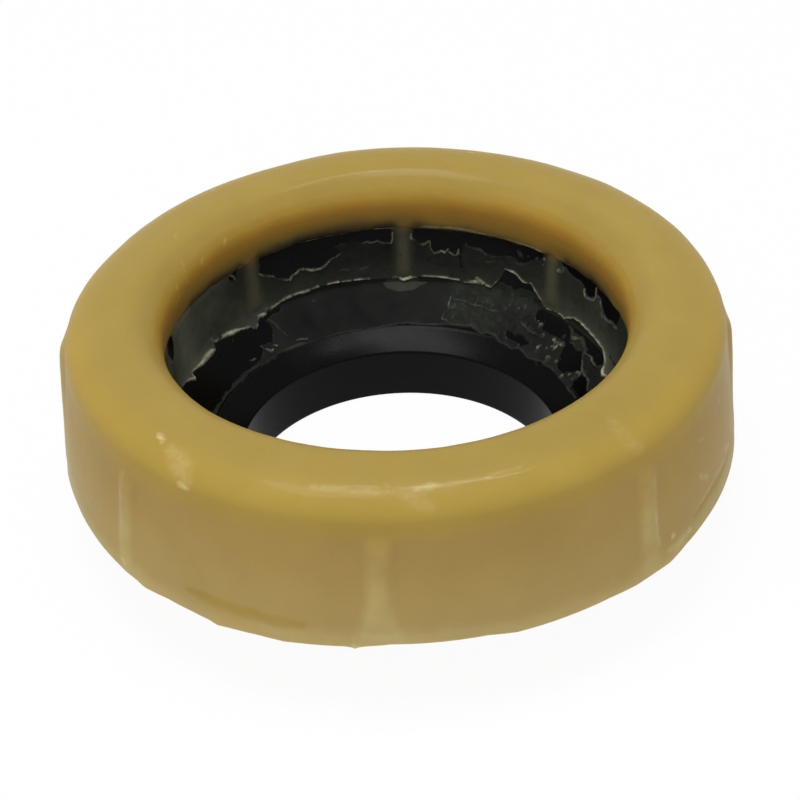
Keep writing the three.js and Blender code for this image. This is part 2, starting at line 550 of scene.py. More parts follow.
@dataclass
class Wiring:
    """Adds nodes to a shader tree and joins them."""

    tree: bpy.types.NodeTree

    def add(self, kind: str, values: dict | None = None, **settings: object) -> bpy.types.Node:
        """Adds a node.

        Args:
            kind: The node's type.
            values: What goes into its inputs, by name or number: an output to join, or a plain value.
            settings: Properties of the node itself.

        Returns:
            The new node.
        """
        node = self.tree.nodes.new(kind)
        for key, value in settings.items():
            setattr(node, key, value)
        for key, value in (values or {}).items():
            if isinstance(value, Socket):
                self.tree.links.new(value, node.inputs[key])
            else:
                node.inputs[key].default_value = value
        return node

    def join(self, output: Socket, target: Socket) -> None:
        """Joins an output to an input."""
        self.tree.links.new(output, target)

    def math(self, operation: str, *values: object) -> Socket:
        """Adds a sum, a product or the like of two or three values and returns its output."""
        return self.add("ShaderNodeMath", dict(enumerate(values)), operation=operation).outputs[0]

    def clamp(self, value: object) -> Socket:
        """Holds a value between 0 and 1."""
        return self.add("ShaderNodeClamp", {0: value}).outputs[0]

    def mix(self, share: object, first: object, second: object) -> Socket:
        """Adds a mix of two colours and returns its output."""
        values = {MIX_SHARE: share, MIX_FIRST: first, MIX_SECOND: second}
        return self.add("ShaderNodeMix", values, data_type="RGBA").outputs[MIX_COLOUR]

    def group(self, tree: bpy.types.NodeTree, values: dict) -> bpy.types.Node:
        """Places a node group with its own values."""
        return self.add("ShaderNodeGroup", values, node_tree=tree)

    def attribute(self, name: str) -> Socket:
        """Reads a mesh attribute as a number."""
        return self.add("ShaderNodeAttribute", attribute_name=name).outputs["Fac"]

    def ramp(self, share: object, stops: Sequence[tuple[float, Colour]]) -> Socket:
        """Adds a colour ramp.

        Args:
            share: What the ramp is read by.
            stops: Each stop's position and its screen colour.

        Returns:
            The ramp's colour.
        """
        node = self.add("ShaderNodeValToRGB", {0: share})
        elements = node.color_ramp.elements
        while len(elements) < len(stops):
            elements.new(0.5)
        for element, (position, colour) in zip(elements, stops):
            element.position = position
            element.color = linear(*colour)
        return node.outputs[0]

    def noise(self, place: object, cell: float, detail: float) -> Socket:
        """Adds noise with cells of a size in millimetres and returns its value, from 0 to 1."""
        values = {"Vector": place, "Scale": 1.0 / (cell * METRES_PER_MM), "Detail": detail}
        return self.add("ShaderNodeTexNoise", values).outputs["Fac"]


def new_group(name: str, inputs: Sequence[tuple[str, str, float]], outputs: Sequence[tuple[str, str]]
              ) -> bpy.types.NodeTree:
    """Makes an empty shader node group.

    Args:
        name: The group's name.
        inputs: Name, kind and default value of each input. A vector has no default.
        outputs: Name and kind of each output.

    Returns:
        The group.
    """
    group = bpy.data.node_groups.new(name, "ShaderNodeTree")
    for label, kind, default in inputs:
        socket = group.interface.new_socket(label, in_out="INPUT", socket_type=kind)
        if kind == "NodeSocketFloat":
            socket.default_value = default
    for label, kind in outputs:
        group.interface.new_socket(label, in_out="OUTPUT", socket_type=kind)
    return group


@dataclass(frozen=True)
class WaxOverBlack:
    """How wax on black plastic looks: dark where it is thin, and its own colour where it is thick."""

    golden: tuple[tuple[float, Colour], ...] = (
        (0.0, (10, 10, 8)),
        (0.04, (50, 45, 29)),
        (0.12, (91, 76, 42)),
        (0.23, (138, 111, 54)),
        (0.35, (157, 122, 51)),
        (0.47, (168, 125, 52)),
        (0.65, (178, 142, 58)),
        (0.8, (176, 147, 71)),
        (1.0, (163, 139, 70)),
    )
    pale: tuple[tuple[float, Colour], ...] = (
        (0.0, (19, 20, 20)),
        (0.2, (52, 55, 47)),
        (0.4, (86, 88, 74)),
        (0.6, (128, 127, 108)),
        (0.8, (186, 182, 158)),
        (1.0, (235, 230, 208)),
    )

    def group(self) -> bpy.types.NodeTree:
        """Makes the node group: one ramp by depth for golden wax and one for pale, scraped wax, mixed.

        Returns:
            The group.
        """
        group = new_group(
            "wax_over_black",
            [("Depth", "NodeSocketFloat", 1.0), ("Pale", "NodeSocketFloat", 0.0)],
            [("Color", "NodeSocketColor")],
        )
        wiring = Wiring(group)
        given = wiring.add("NodeGroupInput").outputs
        golden = wiring.ramp(given["Depth"], self.golden)
        pale = wiring.ramp(given["Depth"], self.pale)
        wiring.add("NodeGroupOutput", {"Color": wiring.mix(given["Pale"], golden, pale)})
        return group


@dataclass(frozen=True)
class Mottle:
    """Soft clouding and fine grain of a moulded surface."""

    cloud_scale: float = 80.0
    cloud_detail: float = 4.0
    grain_scale: float = 900.0
    grain_detail: float = 2.0

    def group(self) -> bpy.types.NodeTree:
        """Makes the node group, with scales per metre that a material may change.

        Returns:
            The group, which puts out a soft cloud around zero and the height of a grain.
        """
        group = new_group(
            "mottle",
            [("Vector", "NodeSocketVector", 0.0), ("Cloud Scale", "NodeSocketFloat", self.cloud_scale),
             ("Grain Scale", "NodeSocketFloat", self.grain_scale)],
            [("Cloud", "NodeSocketFloat"), ("Grain", "NodeSocketFloat")],
        )
        wiring = Wiring(group)
        given = wiring.add("NodeGroupInput").outputs
        cloud = wiring.add("ShaderNodeTexNoise", {
            "Vector": given["Vector"], "Scale": given["Cloud Scale"], "Detail": self.cloud_detail})
        grain = wiring.add("ShaderNodeTexNoise", {
            "Vector": given["Vector"], "Scale": given["Grain Scale"], "Detail": self.grain_detail})
        centred = wiring.math("SUBTRACT", cloud.outputs["Fac"], 0.5)
        wiring.add("NodeGroupOutput", {"Cloud": centred, "Grain": grain.outputs["Fac"]})
        return group


class Palette:
    """The node groups that the finishes share, each built once."""

    def __init__(self) -> None:
        """Builds the groups."""
        self.wax_over_black = WaxOverBlack().group()
        self.mottle = Mottle().group()


def new_material(name: str) -> tuple[bpy.types.Material, Wiring, bpy.types.Node]:
    """Makes a material with only its Principled shader, joined to its output.

    Args:
        name: The material's name.

    Returns:
        The material, the wiring of its tree and the shader.
    """
    material = bpy.data.materials.new(name)
    material.use_nodes = True
    material.node_tree.nodes.clear()
    wiring = Wiring(material.node_tree)
    shader = wiring.add("ShaderNodeBsdfPrincipled")
    wiring.add("ShaderNodeOutputMaterial", {"Surface": shader.outputs[0]})
    return material, wiring, shader


@dataclass(frozen=True)
class Surface:
    """How a finish takes up the mottle: the scales of its cloud and its grain, per metre, the height of the
    grain in metres, its roughness, how far the cloud changes it, its mirroring, and the grain's strength.
    """

    cloud_scale: float
    grain_scale: float
    grain_height: float
    roughness: float
    cloud_roughness: float
    specular: float
    strength: float = 0.5

    def lay(self, wiring: Wiring, palette: Palette, shader: bpy.types.Node) -> tuple[Socket, Socket, Socket]:
        """Places the mottle in a material, roughens the shader by its cloud and bumps it by its grain.

        Args:
            wiring: The wiring of the material's tree.
            palette: The shared node groups.
            shader: The material's shader.

        Returns:
            The Object coordinates, the cloud around zero, and the roughness.
        """
        place = wiring.add("ShaderNodeTexCoord").outputs["Object"]
        mottle = wiring.group(palette.mottle, {
            "Vector": place, "Cloud Scale": self.cloud_scale, "Grain Scale": self.grain_scale}).outputs
        bump = wiring.add("ShaderNodeBump", {
            "Height": mottle["Grain"], "Distance": self.grain_height, "Strength": self.strength})
        wiring.join(bump.outputs[0], shader.inputs["Normal"])
        rough = wiring.math("MULTIPLY_ADD", mottle["Cloud"], self.cloud_roughness, self.roughness)
        wiring.join(rough, shader.inputs["Roughness"])
        shader.inputs["Specular IOR Level"].default_value = self.specular
        return place, mottle["Cloud"], rough


@dataclass(frozen=True)
class RingFinish:
    """Golden, slightly translucent wax with a satin skin, paler where it is scraped, with painted shade in
    its creases.
    Its colours also paint a thin highlight line on the front of the dome, highlights on the ribs, bounce
    light near the foot and part of the light on the shoulder.

    The cloud varies its depth and tone too. Its scrapes with their painted highlight line, and its gloss,
    break up into patches, whose sizes are in millimetres.
    """

    wall: Colour = (170, 142, 81)
    # A warmer, brighter band on the shoulder: partly the wax's own tone, partly painted light where the
    # shoulder turns towards the lamps
    shoulder: Colour = (184, 152, 66)
    # Painted highlight: the ribs are painted paler where their crests and flanks catch the light
    rib: Colour = (188, 168, 108)
    # Painted bounce light: the wall is painted paler towards the foot, where light from the white floor falls
    foot: Colour = (192, 176, 122)
    # Painted shade: the creases are painted darker and more golden, where shade falls in their grooves
    crease: Colour = (164, 136, 60)
    # Pale scraped wax; the same colour also paints the thin highlight line on the front of the dome
    scuff_and_highlight: Colour = (216, 200, 146)
    surface: Surface = Surface(70.0, 650.0, 0.00012, 0.42, 0.25, 0.045)
    cloud_depth: float = 0.1
    cloud_tone: float = 0.2
    scuff_and_highlight_roughness: float = 0.15
    scuff_and_highlight_patch: float = 1.1
    scuff_and_highlight_contrast: float = 2.4
    scuff_and_highlight_start: float = -0.35
    gloss: float = 0.08
    gloss_patch: float = 6.0
    gloss_swing: float = 0.9
    gloss_least: float = 0.55
    patch_detail: float = 3.0
    coat_roughness: float = 0.12
    translucency: float = 0.25
    scatter: tuple[float, float, float] = (1.0, 0.62, 0.2)
    scatter_depth: float = 0.003

    def material(self, palette: Palette) -> bpy.types.Material:
        """Makes the material. The attributes depth, wall, shoulder, rib, foot, crease and scuff say where
        each colour lies, and gloss says where the skin is polished. The rib, foot and crease colours paint
        highlights, bounce light and shade, the shoulder's colour is partly painted light, and the scrapes'
        colour also paints a highlight line.

        Args:
            palette: The shared node groups.

        Returns:
            The material.
        """
        material, wiring, shader = new_material("golden_wax")
        place, cloud, rough = self.surface.lay(wiring, palette, shader)
        # The scrape mask, broken into patches, also carries the painted highlight line on the front of the
        # dome
        patches = wiring.noise(place, self.scuff_and_highlight_patch, self.patch_detail)
        broken = wiring.math("MULTIPLY_ADD", patches, self.scuff_and_highlight_contrast, self.scuff_and_highlight_start)
        scuff_and_highlight = wiring.clamp(wiring.math("MULTIPLY", wiring.attribute("scuff_and_highlight"), broken))
        wiring.join(self._colour(wiring, palette, cloud, scuff_and_highlight), shader.inputs["Base Color"])
        rough = wiring.math("MULTIPLY_ADD", scuff_and_highlight, self.scuff_and_highlight_roughness, rough)
        wiring.join(rough, shader.inputs["Roughness"])
        sheen = wiring.noise(place, self.gloss_patch, self.patch_detail)
        swing, least = self.gloss_swing * self.gloss, self.gloss_least * self.gloss
        uneven = wiring.math("MULTIPLY_ADD", sheen, swing, least)
        polished = wiring.math("MULTIPLY", uneven, wiring.attribute("gloss"))
        wiring.join(polished, shader.inputs["Coat Weight"])
        shader.inputs["Coat Roughness"].default_value = self.coat_roughness
        shader.inputs["Subsurface Weight"].default_value = self.translucency
        shader.inputs["Subsurface Radius"].default_value = self.scatter
        shader.inputs["Subsurface Scale"].default_value = self.scatter_depth
        return material

    def _colour(self, wiring: Wiring, palette: Palette, cloud: Socket,
                scuff_and_highlight: Socket) -> Socket:
        """Lays the colours over one another, each by its attribute, and tones them by the cloud.

        Args:
            wiring: The wiring of the material's tree.
            palette: The shared node groups.
            cloud: The mottle's cloud.
            scuff_and_highlight: Where the skin is scraped, and where the highlight line is painted.

        Returns:
            The colour.
        """
        clouding = wiring.math("MULTIPLY", cloud, self.cloud_depth)
        depth = wiring.math("ADD", wiring.attribute("depth"), clouding)
        colour = wiring.group(palette.wax_over_black, {"Depth": depth, "Pale": 0.0}).outputs[0]
        # The rib, foot and crease colours are painted light, and the shoulder's colour is partly painted
        # light
        layers = {"wall": self.wall, "shoulder": self.shoulder, "rib": self.rib, "foot": self.foot,
                  "crease": self.crease}
        for name, paint in layers.items():
            colour = wiring.mix(wiring.attribute(name), colour, linear(*paint))
        # Pale scrapes, and the painted highlight line along the front of the dome
        colour = wiring.mix(scuff_and_highlight, colour, linear(*self.scuff_and_highlight))
        toned = wiring.add("ShaderNodeVectorMath", {0: colour}, operation="SCALE")
        wiring.join(wiring.math("MULTIPLY_ADD", cloud, self.cloud_tone, 1.0), toned.inputs["Scale"])
        return toned.outputs[0]


@dataclass(frozen=True)
class FilmFinish:
    """The torn film of wax on the funnel, from a clear skin to thick pale threads."""

    surface: Surface = Surface(260.0, 1100.0, 0.00005, 0.42, 0.3, 0.055)
    cloud_depth: float = 0.07

    def material(self, palette: Palette) -> bpy.types.Material:
        """Makes the material. The attributes depth and pale give how thick and how pale the wax looks.

        Args:
            palette: The shared node groups.

        Returns:
            The material.
        """
        material, wiring, shader = new_material("torn_wax_film")
        cloud = self.surface.lay(wiring, palette, shader)[1]
        depth = wiring.math("MULTIPLY_ADD", cloud, self.cloud_depth, wiring.attribute("depth"))
        colour = wiring.group(palette.wax_over_black, {"Depth": depth, "Pale": wiring.attribute("pale")})
        wiring.join(colour.outputs[0], shader.inputs["Base Color"])
        return material


@dataclass(frozen=True)
class PlasticFinish:
    """Smooth black moulded polyethylene, painted a little greyer on the sleeve and the collar: painted light
    that makes up for the shade on these upright faces inside the bore.
    """

    colour: Colour = (5, 5, 5)
    smudge: Colour = (11, 11, 11)
    # Painted light: the greyer colour of the sleeve and the collar, which makes up for their shade inside the
    # bore
    wear_and_painted_light: Colour = (25, 25, 26)
    surface: Surface = Surface(120.0, 1400.0, 0.00003, 0.28, 0.2, 0.055, 0.4)
    cloud_smudge: float = 1.6

    def material(self, palette: Palette) -> bpy.types.Material:
        """Makes the material: near black, with faint smudges that also vary its gloss. The attribute grey
        says where it is painted greyer, as painted light.

        Args:
            palette: The shared node groups.

        Returns:
            The material.
        """
        material, wiring, shader = new_material("black_polyethylene")
        cloud = self.surface.lay(wiring, palette, shader)[1]
        smudged = wiring.math("MULTIPLY", cloud, self.cloud_smudge)
        colour = wiring.mix(smudged, linear(*self.colour), linear(*self.smudge))
        # Painted light on the sleeve and the collar
        colour = wiring.mix(wiring.attribute("grey"), colour, linear(*self.wear_and_painted_light))
        wiring.join(colour, shader.inputs["Base Color"])
        return material


def dress(piece: bpy.types.Object, material: bpy.types.Material) -> None:
    """Gives a piece its material and lets it ride on the seal's body.

    Args:
        piece: The finished piece.
        material: Its material.
    """
    piece.data.materials.append(material)
    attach(piece, BODY)


@dataclass
class Funnel:
    """The black funnel: a sleeve, a curved band, a cone and an upright collar with a buried rim."""

    sizes: SealSizes
    columns: int = 360
    rows: int = 56
    least_row: float = 0.12
    edge_radius: float = 0.35
    edge_angles: tuple[float, ...] = (30.0, 60.0, 90.0)
    # Where the sleeve and the collar are painted greyer, as painted light for their shade inside the bore
    sleeve_blur: float = 0.3
    collar_blur: Span = (20.0, 23.0)
    collar_painted_light: float = 0.4

    def build(self) -> bpy.types.Object:
        """Turns the wall's section about the axis. The section is the inner face and the same line moved out
        by the wall, joined by rounded ends.

        Returns:
            The funnel.
        """
        line = self.sizes.funnel_line()
        even = np.linspace(self.edge_radius, line.length - self.edge_radius, self.rows)
        marks = np.sort(np.concatenate([even, line.distances[1:-1]]))
        marks = marks[np.concatenate([[True], np.diff(marks) > self.least_row])]
        inner = np.stack(line.at(marks), axis=-1)
        outer = line.beside(marks, self.sizes.funnel_wall)
        lower = np.maximum(self._end(inner[0], outer[0], np.array([0.0, -1.0])), 0.0)
        upper = self._end(outer[-1], inner[-1], np.array([1.0, 0.0]))
        section = np.concatenate([lower, outer, upper, inner[::-1]])
        azimuth = np.linspace(0.0, 360.0, self.columns, endpoint=False)
        points = turned(azimuth[None, :], section[:, :1], section[:, 1:])
        height = points[:, :, 2]
        # The grey attribute is painted light: whole on the sleeve and partial on the collar
        sleeve_top = self.sizes.sleeve_length
        sleeve = smooth_step(sleeve_top + self.sleeve_blur, sleeve_top - self.sleeve_blur, height)
        collar = smooth_step(*self.collar_blur, height)
        return ring_piece("black_funnel", points, {"grey": sleeve + self.collar_painted_light * collar})

    def _end(self, first: Array, last: Array, out: Array) -> Array:
        """Rounds an end of the wall: from first to last, out by the edge radius on quarter circles.

        Args:
            first: Where the wall's first face ends.
            last: Where its other face starts.
            out: Direction along the wall.

        Returns:
            The points between the two faces.
        """
        across = (last - first) / np.linalg.norm(last - first)
        angle = np.radians(np.array(self.edge_angles))[:, None]
        near = first + self.edge_radius * (across * (1 - np.cos(angle)) + out * np.sin(angle))
        far = last + self.edge_radius * (-across * (1 - np.cos(angle)) + out * np.sin(angle))
        return np.concatenate([near, far[::-1]])


@dataclass(frozen=True)
class Rib:
    """An upright rib on the ring's wall: its azimuth at the shoulder and at the foot, its half widths by arc,
    how far it stands out at the foot, how wide its flanks are, its share of the full height, and the arc
    where it starts.
    """

    top: float
    foot: float
    half_widths: tuple[Place, ...] = ((34.0, 2.2), (60.0, 2.2))
    foot_rise: float = 0.1
    flank: float = 2.4
    height: float = 1.0
    start: float = 32.0


@dataclass(frozen=True)
class Stroke:
    """A mark on the ring: a path of azimuth, arc and width, and how strong it is."""

    path: tuple[SizedPlace, ...]
    strength: float


@dataclass(frozen=True)
class RingForm:
    """How the ring's skin leaves its plain section, in millimetres.

    A span is two arcs: where something sets in, and where it is whole. The spans of the lip and of the low
    and the full side are angles from the middle of each.
    """

    broad: Noise = Noise(34.0, 3)
    fine: Noise = Noise(7.0, 11, 3)
    swell: float = 0.16
    ripple: float = 0.05
    swell_span: Span = (0.0, 12.0)
    calm_foot: float = 6.0
    edge_thickness: float = 0.3
    edge_span: Span = (4.5, 0.0)
    lip_azimuth: float = 67.0
    lip_span: Span = (22.0, 15.0)
    lip_thickness: float = 0.4
    lip_rise: float = 0.6
    ragged: Noise = Noise(3.2, 31, 3, FILM_RADIUS)
    ragged_rise: float = 0.35
    ragged_span: Span = (3.0, 0.2)
    crown_spare: float = 0.02
    groove: float = 0.16
    pour_start: Span = (12.0, 22.0)
    pour_end: Span = (42.0, 32.0)
    low_azimuth: float = 139.0
    low_span: Span = (38.0, 18.0)
    low_depth: float = 0.55
    full_azimuth: float = 34.0
    full_span: Span = (24.0, 10.0)
    full_rise: float = 0.25
    rib_lean: Span = (35.0, 57.0)
    rib_start: float = 5.0
    rib_foot: Span = (46.0, 58.0)


@dataclass(frozen=True)
class RingTones:
    """Where the colours of the ring's skin lie, and how strong they are.

    A span is two arcs: where a colour sets in, and where it is whole. Wax looks its full depth at the golden
    arc. It gets there sooner by the leads, in millimetres, at the lip, at the sides and at the far ends,
    whose own spans are angles from the back.
    """

    golden_arc: float = 13.0
    back_azimuth: float = 92.0
    lip_lead: float = 1.6
    side_lead: float = 0.6
    side_angles: Span = (32.0, 48.0)
    side_span: Span = (8.0, 1.0)
    end_lead: float = 1.8
    end_angles: Span = (64.0, 76.0)
    end_span: Span = (4.0, 1.0)
    patches: Noise = Noise(9.0, 21, 2, 50.0)
    patch_lead: float = 0.5
    patch_span: Span = (0.0, 4.0)
    strips: float = 8.0
    strip_depth: float = 0.15
    strip_span: Span = (4.4, 0.4)
    rim: float = 0.35
    rim_span: Span = (0.7, 0.1)
    rim_breaks: Span = (-0.5, 0.4)
    wall_span: Span = (30.5, 38.0)
    # Strength of the shoulder band, which is partly painted light
    shoulder: float = 0.42
    shoulder_start: Span = (22.0, 29.5)
    shoulder_end: Span = (37.5, 32.5)
    # Strength of the painted highlight on the ribs, made patchy by the fine noise
    rib: float = 0.62
    rib_start: Span = (1.5, 7.0)
    rib_patches: float = 0.7
    # Painted bounce light from the floor: paler near the foot, and a little paler over the lower wall
    foot: float = 0.45
    foot_reach: float = 5.5
    foot_wander: float = 1.4
    low_wall: float = 0.2
    low_wall_span: Span = (38.0, 54.0)
    # Strength of the painted shade in the creases
    crease: float = 0.75
    gloss_span: Span = (5.0, 11.0)
    wall_dulling: float = 0.9
    dull_azimuth: float = -88.6
    dull_angles: Span = (2.2, 0.8)
    dulling: float = 0.8


@dataclass
class WaxRing:
    """The ring of wax: a rounded top, a ribbed wall with a dented foot, and a slot that holds the collar."""

    sizes: SealSizes
    form: RingForm = RingForm()
    tones: RingTones = RingTones()
    seen_side: Span = (-182.0, 2.0)
    columns_seen: int = 450
    columns_rest: int = 240
    edge_rows: Rows = (0.0, 2.0, 8)
    inner_rows: Rows = (2.4, 6.0, 9)
    dome_start: float = 6.6
    dome_rows: int = 93
    slot_clearance: float = 0.1
    slot_start: float = 1.0
    outer_slot_rows: int = 16
    inner_slot_rows: int = 9
    underside_rows: int = 4
    foot_edge: float = 0.15
    dent_height: float = 7.0
    front: float = -90.0
    degree: float = math.radians(1.0) * WALL_RADIUS
    stroke_noise: Noise = Noise(1.6, 61)
    stroke_wander: float = 0.25
    stroke_shift: int = 17
    ribs: tuple[Rib, ...] = (
        Rib(-44.2, -44.2, height=0.75, start=34.0),
        Rib(-90.2, -90.6, ((34.0, 2.4), (44.0, 2.0), (50.0, 2.1), (54.0, 3.2), (60.0, 5.4)), 0.0, 3.0,
            start=34.0),
        Rib(-136.0, -137.0, ((34.0, 2.1), (60.0, 1.9)), height=0.75, start=35.0),
        Rib(0.0, 0.0, ((34.0, 2.2), (60.0, 2.2)), 0.15, 3.2, height=0.9, start=31.0),
        Rib(45.0, 45.0),
        Rib(90.0, 90.0),
        Rib(135.0, 135.0),
        Rib(-174.0, -173.0, ((34.0, 3.0), (60.0, 2.8)), 0.35, 4.5, height=1.1, start=30.5),
    )
    rib_heights: tuple[Place, ...] = ((38.0, 1.15), (46.0, 0.85), (54.0, 0.3), (59.7, 0.0))
    foot_radii: tuple[Place, ...] = (
        (-180, 70.2), (-166, 70.3), (-158, 69.9), (-149, 69.9), (-140, 70.1), (-134, 70.3), (-132, 70.6),
        (-127, 70.0), (-122, 70.1), (-118.5, 70.4), (-116.7, 70.9), (-114.5, 70.6), (-110, 70.3),
        (-107, 70.4), (-105.5, 70.5), (-103, 70.2), (-96.4, 69.7), (-95.1, 69.8), (-94.5, 70.15),
        (-93.9, 69.7), (-92.7, 69.4), (-89, 68.8), (-74, 69.0), (-69.5, 69.9), (-60, 69.9), (-53, 70.0),
        (-48, 70.5), (-44, 70.5), (-40.2, 70.8), (-35, 70.2), (-28, 70.0), (0, 70.2), (20, 70.0),
        (33, 70.3), (58, 69.9), (81, 70.2), (104, 69.8), (127, 70.2), (151, 69.9),
    )
    # Pale scrapes and smears. The two faint strokes near arc 26 on the front, from azimuth -101.5 to -87.5
    # and from -79.4 to -66, are a painted highlight line on the dome
    scuffs_and_highlights: tuple[Stroke, ...] = (
        Stroke(((-132.6, 25.2, 0.9), (-131.2, 25.6, 1.3), (-130.4, 25.9, 0.9)), 0.85),
        Stroke(((-128.4, 26.6, 2.4), (-125.7, 27.7, 5.6), (-124.0, 28.8, 5.6), (-122.6, 30.4, 3.6)), 0.2),
        Stroke(((-123.6, 31.6, 1.0), (-122.4, 32.1, 1.1)), 1.0),
        Stroke(((-101.5, 25.9, 0.8), (-94.8, 26.1, 1.0), (-87.5, 26.3, 0.9)), 0.2),
        Stroke(((-84.4, 26.0, 1.0), (-81.6, 25.4, 1.9), (-79.6, 25.6, 1.0)), 0.4),
        Stroke(((-79.4, 25.7, 0.8), (-73.2, 25.4, 1.0), (-66.0, 25.1, 0.8)), 0.2),
        Stroke(((-85.4, 27.6, 2.0), (-83.4, 28.6, 3.6), (-82.0, 29.8, 2.4)), 0.14),
        Stroke(((-88.9, 24.6, 1.0), (-88.4, 25.0, 0.9)), 0.15),
        Stroke(((-45.8, 23.5, 3.0), (-46.4, 25.4, 4.6), (-46.2, 28.5, 4.0), (-44.8, 31.0, 3.0)), 0.1),
        Stroke(((-137.9, 57.2, 1.2), (-137.5, 57.8, 1.2)), 0.7),
        Stroke(((-136.9, 36.0, 0.8), (-137.2, 42.0, 0.9), (-137.5, 52.0, 0.8)), 0.15),
        Stroke(((-92.8, 56.8, 1.6), (-90.5, 57.6, 2.4), (-88.4, 57.4, 1.4)), 0.22),
        Stroke(((-94.6, 59.0, 1.2), (-93.8, 59.4, 1.4)), 0.5),
        Stroke(((-42.9, 46.0, 0.9), (-42.7, 49.0, 1.0), (-42.2, 54.4, 1.0)), 0.35),
        Stroke(((-39.0, 54.3, 1.2), (-38.4, 54.7, 1.2)), 0.7),
        Stroke(((-40.2, 57.0, 1.4), (-38.0, 57.8, 2.6), (-34.0, 57.0, 1.8)), 0.32),
        Stroke(((-34.0, 57.0, 1.0), (-33.4, 57.4, 1.1)), 0.6),
        Stroke(((-29.4, 47.9, 1.0), (-26.8, 50.2, 1.2)), 0.3),
        Stroke(((-17.4, 51.3, 1.0), (-13.8, 53.4, 1.1)), 0.45),
        Stroke(((-11.2, 48.0, 0.9), (-10.8, 53.0, 0.9)), 0.25),
        Stroke(((-16.0, 53.1, 0.8), (-24.0, 53.0, 0.9), (-31.0, 54.2, 0.8)), 0.25),
        Stroke(((-19.4, 37.6, 0.8), (-18.4, 38.8, 0.9)), 0.35),
        Stroke(((-28.6, 39.8, 0.8), (-27.6, 40.8, 0.9)), 0.3),
        Stroke(((142.6, 8.2, 0.9), (141.6, 9.4, 0.9)), 0.35),
        Stroke(((158.6, 11.1, 0.9), (159.9, 9.0, 0.8), (160.7, 6.7, 0.7)), 0.2),
        Stroke(((165.5, 8.6, 0.7), (166.3, 5.8, 0.9), (168.1, 5.4, 0.8)), 0.25),
        Stroke(((152.5, 7.5, 0.9), (151.9, 8.1, 0.9)), 0.25),
        Stroke(((153.5, 16.0, 0.9), (152.9, 16.6, 0.9)), 0.2),
        Stroke(((134.6, 27.8, 0.9), (133.8, 28.4, 1.0)), 0.5),
        Stroke(((133.5, 24.4, 0.9), (132.8, 25.0, 0.9)), 0.4),
        Stroke(((76.0, 23.3, 0.9), (75.0, 23.7, 0.9)), 0.4),
    )
    # Creases: shallow grooves in the skin, whose colour is painted shade
    creases: tuple[Stroke, ...] = (
        Stroke(((-122.5, 54.8, 2.0), (-116.5, 55.0, 3.4), (-111.2, 55.3, 3.4), (-106.2, 55.6, 3.6),
                (-102.8, 55.4, 2.4)), 0.8),
        Stroke(((-122.0, 46.6, 1.2), (-120.8, 49.9, 1.8), (-118.7, 51.9, 1.2)), 0.2),
        Stroke(((-15.0, 54.3, 1.4), (-19.5, 54.7, 2.2), (-25.8, 54.3, 2.4), (-31.8, 55.4, 1.6)), 0.8),
        Stroke(((-46.0, 27.0, 1.0), (-46.2, 29.2, 1.0)), 0.6),
        Stroke(((97.5, 10.2, 0.9), (92.0, 9.3, 1.0), (86.0, 9.9, 0.9)), 0.3),
        Stroke(((169.0, 5.0, 1.4), (166.0, 8.6, 1.4)), 0.25),
        Stroke(((159.0, 5.4, 1.2), (152.0, 8.6, 1.2)), 0.25),
    )

    def __post_init__(self) -> None:
        """Lays out the skin's grid, closer together on the side that is seen and near the wax ring's edge."""
        self.line = self.sizes.wax_line()
        self.length = self.line.length
        self.azimuth = round_seal(self.seen_side, self.columns_seen, self.columns_rest)
        self.arc = np.concatenate([
            np.linspace(*self.edge_rows),
            np.linspace(*self.inner_rows),
            np.linspace(self.dome_start, self.length - self.foot_edge, self.dome_rows),
        ])[:, None]
        self.fine = self.form.fine.at(self.azimuth, self.arc)
        self.lip = smooth_step(*self.form.lip_span, self.aside(self.form.lip_azimuth))

    def aside(self, azimuth: float) -> Array:
        """The grid's angle to either side of an azimuth."""
        return np.abs(angle_from(self.azimuth, azimuth))

    def build(self) -> bpy.types.Object:
        """Moves every point of the section's skin along its normal by the shape of the skin there, and the
        foot in or out by the dents.

        Returns:
            The ring.
        """
        form, arc = self.form, self.arc
        radius, height = self.line.at(arc)
        right = self.line.right(arc)
        shape, marks = self._skin()
        dent = read_list(self.azimuth, self.foot_radii) - self.sizes.foot_radius
        fade = np.clip(1.0 - (height - self.sizes.underside_height) / self.dent_height, 0.0, 1.0)
        ragged = form.ragged_rise * form.ragged.at(self.azimuth, arc) + form.lip_rise * self.lip
        ragged = ragged * smooth_step(*form.ragged_span, arc)
        crown = self.sizes.crown_height - form.crown_spare
        level = np.minimum(height - shape * right[1] + ragged, crown)
        skin = turned(self.azimuth, radius - shape * right[0] + dent * fade, level)
        under = self._underside(dent)
        points = np.concatenate([skin, under])[::-1]
        attributes = {}
        for key, values in marks.items():
            filler = np.repeat(values[-1:], len(under), axis=0)
            attributes[key] = np.concatenate([values, filler])[::-1]
        return ring_piece("golden_wax_ring", points, attributes)

    def _skin(self) -> tuple[Array, dict[str, Array]]:
        """Works out how far the skin stands out, and where its colours lie.

        Returns:
            The distance out along the normal, and the masks by attribute name.
        """
        form, tones = self.form, self.tones
        azimuth, arc, length, fine = self.azimuth, self.arc, self.length, self.fine
        swell = form.swell * form.broad.at(azimuth, arc) + form.ripple * fine
        swell = swell * smooth_step(*form.swell_span, arc) * smooth_step(length, length - form.calm_foot, arc)
        thinned = self.sizes.wax_skin - form.edge_thickness - form.lip_thickness * self.lip
        hump, rise = self._ribs()
        # Scrapes, and the strokes that paint the dome's highlight line
        scuff_and_highlight = self._strokes(self.scuffs_and_highlights)
